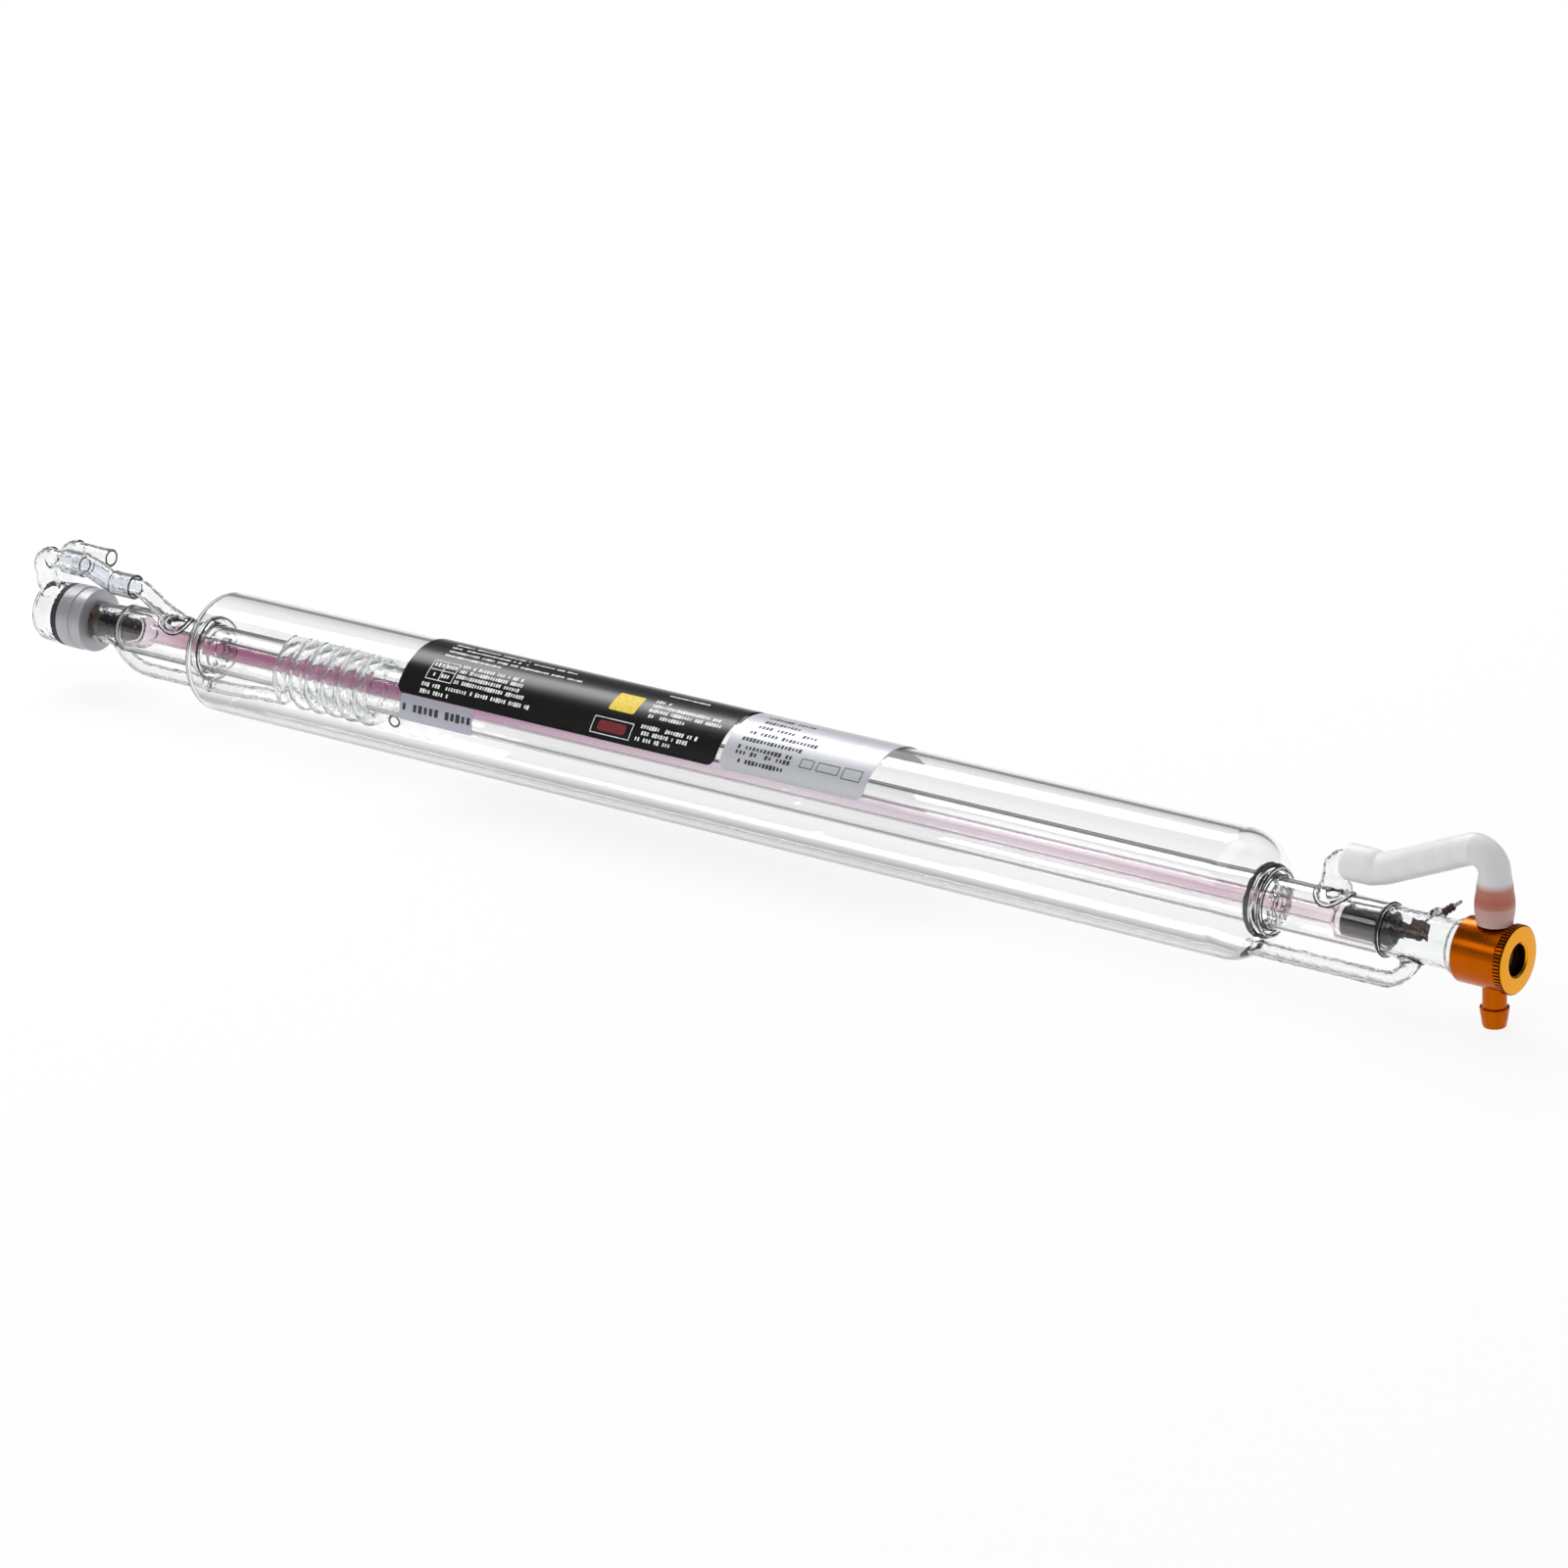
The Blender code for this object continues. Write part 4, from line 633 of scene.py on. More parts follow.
def oxidised_nickel():
    """Nickel sheet rolled into an electrode and oxidised nearly black: glossy, with soft streaks."""
    material, tree, shader = principled("oxidised_nickel", "#2A2C31", metallic=1.0, roughness=0.18)
    streak_length, streak_width = 0.0167, 0.0025
    grid = in_units(tree, streak_length, streak_width)
    patina = add(tree, "ShaderNodeTexNoise", {"Vector": grid, "Scale": 1.0, "Detail": 4.0})
    colour_by(tree, shader, patina.outputs[0], (0.35, "#0F1013"), (0.7, "#2A2C32"))
    lift_by(tree, shader, patina.outputs[0], 0.10, 0.0001)
    return material


def scorched_strip():
    """Nickel lead strip, scorched brown-black by the flame that sealed the glass."""
    material, tree, shader = principled("scorched_strip", "#3B2A26", metallic=1.0, roughness=0.4)
    scorch_width = 0.00143
    grid = in_units(tree, scorch_width)
    scorch = add(tree, "ShaderNodeTexNoise", {"Vector": grid, "Scale": 1.0, "Detail": 4.0})
    colour_by(tree, shader, scorch.outputs[0], (0.35, "#1E1715"), (0.7, "#5B443C"))
    return material


def bright_wire():
    """Drawn steel wire: bright, with lighter and darker marks a third of a millimetre wide."""
    material, tree, shader = principled("bright_wire", "#B9B9B9", metallic=1.0, roughness=0.25)
    mark_width = 0.000333
    grid = in_units(tree, mark_width)
    marks = add(tree, "ShaderNodeTexNoise", {"Vector": grid, "Scale": 1.0, "Detail": 2.0})
    colour_by(tree, shader, marks.outputs[0], (0.3, "#8C8C8C"), (0.7, "#D6D6D6"))
    return material


def brown_sleeve():
    """Dark brown insulating sleeve, dull with a slight mottle."""
    material, tree, shader = principled("brown_sleeve", "#3A211B", roughness=0.5)
    mottle_width = 0.000833
    grid = in_units(tree, mottle_width)
    mottle = add(tree, "ShaderNodeTexNoise", {"Vector": grid, "Scale": 1.0, "Detail": 3.0})
    colour_by(tree, shader, mottle.outputs[0], (0.3, "#2A1713"), (0.7, "#553029"))
    return material


def gold_coating():
    """Evaporated gold on a polished disc."""
    material, tree, shader = principled("gold_coating", "#E7B85A", metallic=1.0, roughness=0.06)
    dust_width = 0.00111
    grid = in_units(tree, dust_width)
    dust = add(tree, "ShaderNodeTexNoise", {"Vector": grid, "Scale": 1.0, "Detail": 2.0})
    rough = add(tree, "ShaderNodeMapRange", {"Value": dust.outputs[0], "To Min": 0.03, "To Max": 0.12})
    tree.links.new(rough.outputs[0], shader.inputs["Roughness"])
    return material


def coated_zinc_selenide():
    """Polished zinc selenide: a deep amber disc, painted nearly black-brown as painted shade of its bore."""
    material, tree, shader = principled(
        "coated_zinc_selenide", "#1A0803", roughness=0.08, specular_ior_level=0.1
    )
    tint_width = 0.0025
    grid = in_units(tree, tint_width)
    film = add(tree, "ShaderNodeTexNoise", {"Vector": grid, "Scale": 1.0, "Detail": 1.0})
    colour_by(tree, shader, film.outputs[0], (0.3, "#120502"), (0.7, "#240D05"))
    return material


def black_film():
    """Glossy black vinyl label film."""
    material, tree, shader = principled("black_film", "#100F11", roughness=0.22, specular_ior_level=0.35)
    peel_width = 0.00385
    grid = in_units(tree, peel_width)
    peel = add(tree, "ShaderNodeTexNoise", {"Vector": grid, "Scale": 1.0, "Detail": 2.0})
    colour_by(tree, shader, peel.outputs[0], (0.3, "#0C0B0D"), (0.7, "#141315"))
    lift_by(tree, shader, peel.outputs[0], 0.04, 0.0002)
    return material


def silver_film(name, colour, grain):
    """Satin silver polyester label film, its grain drawn coarser than the real one so that it shows."""
    material, tree, shader = principled(name, colour, metallic=0.35, roughness=0.34)
    grain_length, grain_width = 0.000667, 0.00025
    grid = in_units(tree, grain_length, grain_width)
    speck = add(tree, "ShaderNodeTexNoise", {"Vector": grid, "Scale": 1.0, "Detail": 2.0})
    colour_by(tree, shader, speck.outputs[0], (0.3, grain), (0.7, colour))
    return material


def printing_ink(name, colour, worn):
    """Thin screen-printed ink, slightly broken where it was rubbed."""
    material, tree, shader = principled(name, colour, roughness=0.45)
    rub_width = 0.00111
    grid = in_units(tree, rub_width)
    rub = add(tree, "ShaderNodeTexNoise", {"Vector": grid, "Scale": 1.0, "Detail": 3.0})
    colour_by(tree, shader, rub.outputs[0], (0.35, worn), (0.55, colour))
    return material


# Shapes


def mesh_object(bm, name, sharp=35):
    bmesh.ops.remove_doubles(bm, verts=bm.verts, dist=1e-7)
    bmesh.ops.dissolve_degenerate(bm, edges=bm.edges, dist=1e-8)
    bmesh.ops.recalc_face_normals(bm, faces=bm.faces)
    mesh = bpy.data.meshes.new(name)
    bm.to_mesh(mesh)
    bm.free()
    mesh.shade_smooth()
    mesh.set_sharp_from_angle(angle=radians(sharp))
    piece = bpy.data.objects.new(name, mesh)
    bpy.context.scene.collection.objects.link(piece)
    return piece


def lathe(name, outline, steps=MEDIUM, ring=True):
    """Turns an outline of (x, r) points about the X axis. A ring's outline closes on itself."""
    bm = bmesh.new()
    corners = [bm.verts.new((x, 0, r)) for x, r in outline]
    pairs = list(zip(corners, corners[1:]))
    if ring:
        pairs.append((corners[-1], corners[0]))
    edges = [bm.edges.new(pair) for pair in pairs]
    bmesh.ops.spin(
        bm, geom=corners + edges, cent=(0, 0, 0), axis=(1, 0, 0), angle=2 * pi, steps=steps, use_merge=True
    )
    return mesh_object(bm, name)


def arc(centre, radius, start, end, steps):
    """Points of an arc, by angle from the +X direction towards larger radii."""
    x, r = centre
    angles = [start + (end - start) * i / steps for i in range(steps + 1)]
    return [(x + radius * cos(a), r + radius * sin(a)) for a in angles]


def headings(path):
    """The direction of travel at each point of a path."""
    found = []
    for i in range(len(path)):
        before = path[max(i - 1, 0)]
        after = path[min(i + 1, len(path) - 1)]
        found.append((after - before).normalized())
    return found


def tube(name, path, outer, inner=None, sides=FINE):
    """A tube along a path, or a rod where it has no inner radius. A radius is one value or a list."""
    count = len(path)
    outer = outer if isinstance(outer, list) else [outer] * count
    inner = inner if isinstance(inner, list) else [inner] * count
    bm = bmesh.new()
    ways = headings(path)
    side = ways[0].orthogonal().normalized()
    skins = [[], []]
    turns = [2 * pi * k / sides for k in range(sides)]
    for i, point in enumerate(path):
        side = (side - ways[i] * side.dot(ways[i])).normalized()
        other = ways[i].cross(side)
        for skin, radius in zip(skins, (outer[i], inner[i])):
            if radius is not None:
                skin.append([bm.verts.new(point + radius * (cos(t) * side + sin(t) * other)) for t in turns])
    for skin in skins:
        for low, high in zip(skin, skin[1:]):
            for k in range(sides):
                n = (k + 1) % sides
                bm.faces.new((low[k], low[n], high[n], high[k]))
    for end in (0, -1):
        if skins[1]:
            out, inside = skins[0][end], skins[1][end]
            for k in range(sides):
                n = (k + 1) % sides
                bm.faces.new((out[k], out[n], inside[n], inside[k]))
        else:
            bm.faces.new(skins[0][end])
    return mesh_object(bm, name)


def bent_path(corners, radii, steps=BEND_STEPS):
    """Straight runs between corners, with each inner corner bent to its own radius."""
    points = [Vector(corners[0])]
    for i in range(1, len(corners) - 1):
        corner = Vector(corners[i])
        back = (Vector(corners[i - 1]) - corner).normalized()
        ahead = (Vector(corners[i + 1]) - corner).normalized()
        half = back.angle(ahead) / 2
        centre = corner + (back + ahead).normalized() * radii[i - 1] / sin(half)
        first = corner + back * radii[i - 1] / tan(half) - centre
        last = corner + ahead * radii[i - 1] / tan(half) - centre
        points += [centre + radii[i - 1] * first.slerp(last, k / steps) for k in range(steps + 1)]
    points.append(Vector(corners[-1]))
    return points


def distances(path):
    found = [0.0]
    for start, end in zip(path, path[1:]):
        found.append(found[-1] + (end - start).length)
    return found


def eased(share):
    return share * share * (3 - 2 * share)


def radius_at(stations, distance):
    """Reads a radius from (distance, radius) stations, with a soft change between them."""
    for (d0, r0), (d1, r1) in zip(stations, stations[1:]):
        if distance <= d1:
            return r0 + (r1 - r0) * eased(max(0.0, (distance - d0) / (d1 - d0)))
    return stations[-1][1]


def stationed(path, step, *profiles):
    """Points a step apart along a path, and a radius list for each profile."""
    far = distances(path)
    count = max(2, round(far[-1] / step))
    wanted = [far[-1] * i / count for i in range(count + 1)]
    points = []
    for d in wanted:
        k = max(i for i in range(len(far) - 1) if far[i] <= d)
        points.append(path[k].lerp(path[k + 1], (d - far[k]) / (far[k + 1] - far[k])))
    return points, [[radius_at(stations, d) for d in wanted] for stations in profiles]


def around(x, offset, angle):
    """A point at this distance from the axis; the angle runs from +Y towards +Z."""
    return Vector((x, offset * cos(angle), offset * sin(angle)))


def shape_with(target, helpers, operation):
    """Cuts helpers out of a piece, or joins them to it, and removes them."""
    for helper in helpers:
        modifier = target.modifiers.new("shape", "BOOLEAN")
        modifier.operation = operation
        modifier.object = helper
        modifier.solver = "EXACT"
    graph = bpy.context.evaluated_depsgraph_get()
    shaped = bpy.data.meshes.new_from_object(target.evaluated_get(graph))
    target.modifiers.clear()
    target.data = shaped
    shaped.shade_smooth()
    shaped.set_sharp_from_angle(angle=radians(35))
    for helper in helpers:
        bpy.data.objects.remove(helper)


def rod(start, end, radius, sides=FINE):
    """A round helper between two points."""
    return tube("helper", [Vector(start), Vector(end)], radius, sides=sides)


def dress(piece, material, slot, *nodes):
    """Gives a piece its finish, ties it to the tube and hides the nodes that it stands for."""
    piece.data.materials.clear()
    piece.data.materials.append(material)
    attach(piece, "root")
    if nodes:
        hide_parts(*nodes)
    return piece


# Trees of geometry nodes


def new_tree(name, **inputs):
    """A geometry tree with named inputs, given as a socket type each."""
    tree = bpy.data.node_groups.new(name, "GeometryNodeTree")
    tree.interface.new_socket("Geometry", in_out="INPUT", socket_type="NodeSocketGeometry")
    for key, kind in inputs.items():
        label = key.replace("_", " ").title()
        tree.interface.new_socket(label, in_out="INPUT", socket_type=f"NodeSocket{kind}")
    tree.interface.new_socket("Geometry", in_out="OUTPUT", socket_type="NodeSocketGeometry")
    return tree, add(tree, "NodeGroupInput").outputs


def close_tree(tree, geometry, material):
    """Ends a tree with real geometry in one material."""
    real = add(tree, "GeometryNodeRealizeInstances", {"Geometry": geometry})
    painted = add(tree, "GeometryNodeSetMaterial", {"Geometry": real.outputs[0], "Material": material})
    add(tree, "NodeGroupOutput", {"Geometry": painted.outputs[0]})


def grow(tree, base, name, **values):
    """Runs a tree on a base object and keeps the result as a plain mesh."""
    modifier = base.modifiers.new(name, "NODES")
    modifier.node_group = tree
    sockets = {s.name: s.identifier for s in tree.interface.items_tree if s.in_out == "INPUT"}
    for key, value in values.items():
        modifier[sockets[key.replace("_", " ").title()]] = value
    graph = bpy.context.evaluated_depsgraph_get()
    mesh = bpy.data.meshes.new_from_object(base.evaluated_get(graph))
    bpy.data.objects.remove(base)
    bm = bmesh.new()
    bm.from_mesh(mesh)
    return mesh_object(bm, name, 60)


def line_object(*lines, closed=False):
    """Bare lines of edges that a tree follows."""
    points, edges = [], []
    for line in lines:
        first, count = len(points), len(line)
        points += [tuple(p) for p in line]
        edges += [(first + i, first + (i + 1) % count) for i in range(count if closed else count - 1)]
    mesh = bpy.data.meshes.new("line")
    mesh.from_pydata(points, edges, [])
    made = bpy.data.objects.new("line", mesh)
    bpy.context.scene.collection.objects.link(made)
    return made


def wound_tube_tree():
    """A glass tube with a wall, wound along a line."""
    tree, given = new_tree("wound_tube", tube_radius="Float", wall="Float", sides="Int", material="Material")
    path = add(tree, "GeometryNodeMeshToCurve", {"Mesh": given["Geometry"]})
    ring = {"Resolution": given["Sides"], "Radius": given["Tube Radius"]}
    section = add(tree, "GeometryNodeCurvePrimitiveCircle", ring)
    swept = {"Curve": path.outputs[0], "Profile Curve": section.outputs["Curve"]}
    skin = add(tree, "GeometryNodeCurveToMesh", swept)
    inward = add(tree, "ShaderNodeMath", {0: given["Wall"], 1: -1.0}, operation="MULTIPLY")
    wall = add(
        tree,
        "GeometryNodeExtrudeMesh",
        {"Mesh": skin.outputs[0], "Offset Scale": inward.outputs[0], "Individual": False},
    )
    turned = add(tree, "GeometryNodeFlipFaces", {"Mesh": wall.outputs["Mesh"]})
    both = add(tree, "GeometryNodeJoinGeometry")
    tree.links.new(skin.outputs[0], both.inputs[0])
    tree.links.new(turned.outputs[0], both.inputs[0])
    sealed = add(tree, "GeometryNodeMergeByDistance", {"Geometry": both.outputs[0], "Distance": 1e-6})
    close_tree(tree, sealed.outputs[0], given["Material"])
    return tree


def weld_bead_tree():
    """A bead of melted glass round a joint, thicker and thinner at random."""
    tree, given = new_tree(
        "weld_bead", bead_radius="Float", unevenness="Float", seed="Int", material="Material"
    )
    path = add(tree, "GeometryNodeMeshToCurve", {"Mesh": given["Geometry"]})
    spot = add(tree, "GeometryNodeInputPosition")
    lumps_per_metre = 420.0
    lumps = add(
        tree,
        "ShaderNodeTexNoise",
        {"Vector": spot.outputs[0], "W": given["Seed"], "Scale": lumps_per_metre, "Detail": 1.0},
        noise_dimensions="4D",
    )
    uneven = {0: lumps.outputs[0], 1: given["Unevenness"], 2: 0.5}
    swell = add(tree, "ShaderNodeMath", uneven, operation="MULTIPLY_ADD")
    ring = {"Resolution": BEAD_SIDES, "Radius": given["Bead Radius"]}
    section = add(tree, "GeometryNodeCurvePrimitiveCircle", ring)
    swept = {"Curve": path.outputs[0], "Profile Curve": section.outputs["Curve"], "Scale": swell.outputs[0]}
    skin = add(tree, "GeometryNodeCurveToMesh", swept)
    close_tree(tree, skin.outputs[0], given["Material"])
    return tree


def knurl_tree():
    """Straight knurl teeth set round a rim, each a short flat bar."""
    tree, given = new_tree(
        "straight_knurl",
        teeth="Int",
        rim_radius="Float",
        tooth_length="Float",
        tooth_width="Float",
        place_x="Float",
        material="Material",
    )
    rim = add(tree, "GeometryNodeMeshCircle", {"Vertices": given["Teeth"], "Radius": given["Rim Radius"]})
    upright = add(tree, "GeometryNodeTransform", {"Geometry": rim.outputs[0], "Rotation": (0, pi / 2, 0)})
    sides = {"X": given["Tooth Length"], "Y": given["Tooth Width"], "Z": given["Tooth Width"]}
    size = add(tree, "ShaderNodeCombineXYZ", sides)
    bar = add(tree, "GeometryNodeMeshCube", {"Size": size.outputs[0]})
    spot = add(tree, "GeometryNodeInputPosition")
    outwards = add(
        tree, "FunctionNodeAlignRotationToVector", {"Vector": spot.outputs[0]}, axis="Z", pivot_axis="X"
    )
    teeth = add(
        tree,
        "GeometryNodeInstanceOnPoints",
        {"Points": upright.outputs[0], "Instance": bar.outputs[0], "Rotation": outwards.outputs[0]},
    )
    shift = add(tree, "ShaderNodeCombineXYZ", {"X": given["Place X"]})
    moved = {"Geometry": teeth.outputs[0], "Translation": shift.outputs[0]}
    placed = add(tree, "GeometryNodeTransform", moved)
    close_tree(tree, placed.outputs[0], given["Material"])
    return tree


def fine_print_tree():
    """Short uneven ink bars in place of letters, set along flat lines and wrapped round the jacket."""
    tree, given = new_tree(
        "fine_print",
        bar_pitch="Float",
        bar_height="Float",
        ink="Float",
        radius="Float",
        seed="Int",
        material="Material",
    )
    line = add(tree, "GeometryNodeMeshToCurve", {"Mesh": given["Geometry"]})
    paced = {"Curve": line.outputs[0], "Length": given["Bar Pitch"]}
    spots = add(tree, "GeometryNodeCurveToPoints", paced, mode="LENGTH")
    space_share = 0.15
    gaps = {"Probability": space_share, "Seed": given["Seed"]}
    space = add(tree, "FunctionNodeRandomValue", gaps, data_type="BOOLEAN")
    kept = add(
        tree,
        "GeometryNodeDeleteGeometry",
        {"Geometry": spots.outputs["Points"], "Selection": space.outputs[3]},
        domain="POINT",
    )
    fill = add(tree, "FunctionNodeRandomValue", {2: 0.5, 3: 0.85, "Seed": given["Seed"]}, data_type="FLOAT")
    wide = add(tree, "ShaderNodeMath", {0: given["Bar Pitch"], 1: fill.outputs[1]}, operation="MULTIPLY")
    tall = add(tree, "FunctionNodeRandomValue", {2: 0.7, 3: 1.0, "Seed": given["Seed"]}, data_type="FLOAT")
    high = add(tree, "ShaderNodeMath", {0: given["Bar Height"], 1: tall.outputs[1]}, operation="MULTIPLY")
    size = add(tree, "ShaderNodeCombineXYZ", {"X": wide.outputs[0], "Y": high.outputs[0], "Z": given["Ink"]})
    blank = {"Size": (1, 1, 1), "Vertices X": 2, "Vertices Y": 3, "Vertices Z": 2}
    bar = add(tree, "GeometryNodeMeshCube", blank)
    bars = add(
        tree,
        "GeometryNodeInstanceOnPoints",
        {"Points": kept.outputs[0], "Instance": bar.outputs[0], "Scale": size.outputs[0]},
    )
    real = add(tree, "GeometryNodeRealizeInstances", {"Geometry": bars.outputs[0]})
    spot = add(tree, "GeometryNodeInputPosition")
    flat = add(tree, "ShaderNodeSeparateXYZ", {"Vector": spot.outputs[0]})
    turn = add(tree, "ShaderNodeMath", {0: flat.outputs["Y"], 1: given["Radius"]}, operation="DIVIDE")
    high = add(tree, "ShaderNodeMath", {0: given["Radius"], 1: flat.outputs["Z"]}, operation="ADD")
    swing = add(tree, "ShaderNodeMath", {0: turn.outputs[0]}, operation="SINE")
    lift = add(tree, "ShaderNodeMath", {0: turn.outputs[0]}, operation="COSINE")
    out = add(tree, "ShaderNodeMath", {0: high.outputs[0], 1: swing.outputs[0]}, operation="MULTIPLY")
    up = add(tree, "ShaderNodeMath", {0: high.outputs[0], 1: lift.outputs[0]}, operation="MULTIPLY")
    wrapped = add(
        tree, "ShaderNodeCombineXYZ", {"X": flat.outputs["X"], "Y": out.outputs[0], "Z": up.outputs[0]}
    )
    bent = add(
        tree, "GeometryNodeSetPosition", {"Geometry": real.outputs[0], "Position": wrapped.outputs[0]}
    )
    close_tree(tree, bent.outputs[0], given["Material"])
    return tree


# Glass


def dome_turn(height, wall, radius):
    """The angle along a dome's curve at which it lies this far from the axis."""
    return asin((radius - JACKET_R + height) / (height - wall))


def dome_curve(dome, wall, start, end, steps):
    """Points of a dome's outside, or of its inside where the wall is taken off."""
    depth, height = dome
    angles = [start + (end - start) * i / steps for i in range(steps + 1)]
    low = JACKET_R - height
    return [(BARREL_END + (depth - wall) * cos(a), low + (height - wall) * sin(a)) for a in angles]


def bridge_end(dome, offset):
    """Distance of a bridge's inner end from the middle of the tube."""
    depth, height = dome
    turn = dome_turn(height, JACKET_WALL, offset)
    return BARREL_END + (depth - JACKET_WALL) * cos(turn) - REACH_INSIDE


def dome_outline(dome, bead_depth):
    """From the barrel over the outside to the neck, round its bead and back along the inside."""
    neck = WATER_R + GAP
    outside_steps, inside_steps = 28, 24
    outer = dome_curve(dome, 0, pi / 2, dome_turn(dome[1], 0, neck + EDGE), outside_steps)
    turned_in = dome_turn(dome[1], JACKET_WALL, NECK_BEAD_R)
    inner = dome_curve(dome, JACKET_WALL, turned_in, pi / 2, inside_steps)
    tip = outer[-1][0]
    bead = [(tip - EDGE, neck), (tip - bead_depth + EDGE, neck)]
    bead += arc((tip - bead_depth + EDGE, neck + EDGE), EDGE, -pi / 2, -pi, 4)
    bead.append((tip - bead_depth, NECK_BEAD_R - 2 * EDGE))
    return outer + bead + inner


def build_outer_jacket(glass):
    """Blown jacket: a barrel with a dome at each end, closed by a thick bead round each neck."""
    front = dome_outline(FRONT_DOME, FRONT_BEAD_DEPTH)
    rear = [(-x, r) for x, r in reversed(dome_outline(REAR_DOME, REAR_BEAD_DEPTH))]
    jacket = lathe("outer_jacket_glass", front + rear, LARGE)
    holes = []
    bridges = ((1, FRONT_BRIDGE_OFFSET, FRONT_BRIDGE_R), (-1, REAR_BRIDGE_OFFSET, REAR_BRIDGE_R))
    for side, offset, radius in bridges:
        start = around(side * BARREL_END, offset, SIDE_ANGLE)
        end = around(side * (BARREL_END + JACKET_R), offset, SIDE_ANGLE)
        holes.append(rod(start, end, radius + GAP))
    shape_with(jacket, holes, "DIFFERENCE")
    dress(jacket, glass, "borosilicate_glass", "outer_jacket")


def rear_nipple_top():
    """Where the rear nipple turns back towards the cap, level with the near arm's spread."""
    return Vector((REAR_NIPPLE_X - REAR_NIPPLE_RAKE, -CAP_ARM_SPREAD, REAR_NIPPLE_HEIGHT))


def rear_nipple_mouth():
    return rear_nipple_top() - Vector((REAR_NIPPLE_REACH, 0, 0))


def nipple_lean():
    """The direction in which the rear nipple leaves the water jacket, back and to the near side."""
    return (rear_nipple_top() - Vector((REAR_NIPPLE_X, 0, 0))).normalized()


def build_water_jacket(glass):
    """Long water tube whose ends turn in to seal on the electrode cups."""
    throat = CUP_R + GAP
    bore = WATER_R - WATER_WALL
    turn = 2 * EDGE
    half = arc((FRONT_SEAL - turn, WATER_R - turn), turn, pi / 2, 0, 6)
    half += [(FRONT_SEAL, throat), (FRONT_SEAL - WATER_WALL, throat)]
    half += arc((FRONT_SEAL - WATER_WALL - EDGE, bore - EDGE), EDGE, 0, pi / 2, 4)
    rear = arc((REAR_SEAL + WATER_WALL + EDGE, bore - EDGE), EDGE, pi / 2, pi, 4)
    rear += [(REAR_SEAL + WATER_WALL, throat), (REAR_SEAL, throat)]
    rear += arc((REAR_SEAL + turn, WATER_R - turn), turn, pi, pi / 2, 6)
    jacket = lathe("water_jacket_glass", half + rear, MEDIUM)
    lean = nipple_lean()
    base = Vector((REAR_NIPPLE_X, 0, 0))
    front = Vector((FRONT_NIPPLE_X, 0, 0))
    up = Vector((0, 0, 1))
    low = BORE_R + 2 * WATER_WALL
    high = 2 * WATER_R
    ports = [
        rod(front + up * low, front + up * high, FRONT_NIPPLE_R - NIPPLE_WALL),
        rod(base + lean * low, base + lean * high, REAR_NIPPLE_R - NIPPLE_WALL),
    ]
    shape_with(jacket, ports, "DIFFERENCE")
    dress(jacket, glass, "borosilicate_glass", "water_jacket")


def build_discharge_tube(glass):
    """Narrow bore tube on the axis, flared into a cup round each electrode."""
    front_cup = FRONT_SEAL - FRONT_CUP_LENGTH
    rear_cup = REAR_SEAL + REAR_CUP_LENGTH
    inner = BORE_R - BORE_WALL
    cup_inner = CUP_R - CUP_WALL

    def flare(start, end, r0, r1):
        steps = 10
        shares = [i / steps for i in range(steps + 1)]
        return [(start + (end - start) * share, r0 + (r1 - r0) * eased(share)) for share in shares]

    outline = [(REAR_SEAL, CUP_R)]
    outline += flare(rear_cup, rear_cup + CUP_FLARE, CUP_R, BORE_R)
    outline += flare(front_cup - CUP_FLARE, front_cup, BORE_R, CUP_R)
    outline += [(FRONT_SEAL, CUP_R), (FRONT_SEAL, cup_inner)]
    outline += flare(front_cup + CUP_WALL / 2, front_cup - CUP_FLARE, cup_inner, inner)
    outline += flare(rear_cup + CUP_FLARE, rear_cup - CUP_WALL / 2, inner, cup_inner)
    outline.append((REAR_SEAL, cup_inner))
    dress(lathe("discharge_tube_glass", outline, SMALL), glass, "borosilicate_glass", "discharge_tube")


def build_bore_spacers(glass):
    """Slotted rings that centre the discharge tube inside the water jacket."""
    low = BORE_R + GAP
    high = WATER_R - WATER_WALL - GAP
    half = SPACER_THICKNESS / 2
    for name, x in (("front_bore_spacer", FRONT_SPACER_X), ("rear_bore_spacer", REAR_SPACER_X)):
        outline = [(x - half, low), (x - half, high), (x + half, high), (x + half, low)]
        ring = lathe(f"{name}_glass", outline, SMALL)
        slots = []
        for k in range(4):
            turn = pi / 4 + k * pi / 2
            reach = (low + high) / 2
            start = around(x - SPACER_THICKNESS, reach, turn)
            slots.append(rod(start, around(x + SPACER_THICKNESS, reach, turn), SPACER_SLOT_R))
        shape_with(ring, slots, "DIFFERENCE")
        dress(ring, glass, "borosilicate_glass", name)


def arm_line(x, chamber_r, angle, tilt):
    """The line of a lead-through arm: its root inside the chamber wall, and its direction."""
    root = around(x, chamber_r - CHAMBER_WALL / 2, angle)
    way = Vector((cos(tilt), 0, 0)) + sin(tilt) * around(0, 1, angle)
    return root, way


def cathode_arm():
    return arm_line(CATHODE_ARM_X, FRONT_CHAMBER_R, CATHODE_ARM_ANGLE, CATHODE_ARM_TILT)


def anode_arm():
    return arm_line(ANODE_ARM_X, REAR_CHAMBER_R, ANODE_ARM_ANGLE, ANODE_ARM_TILT)


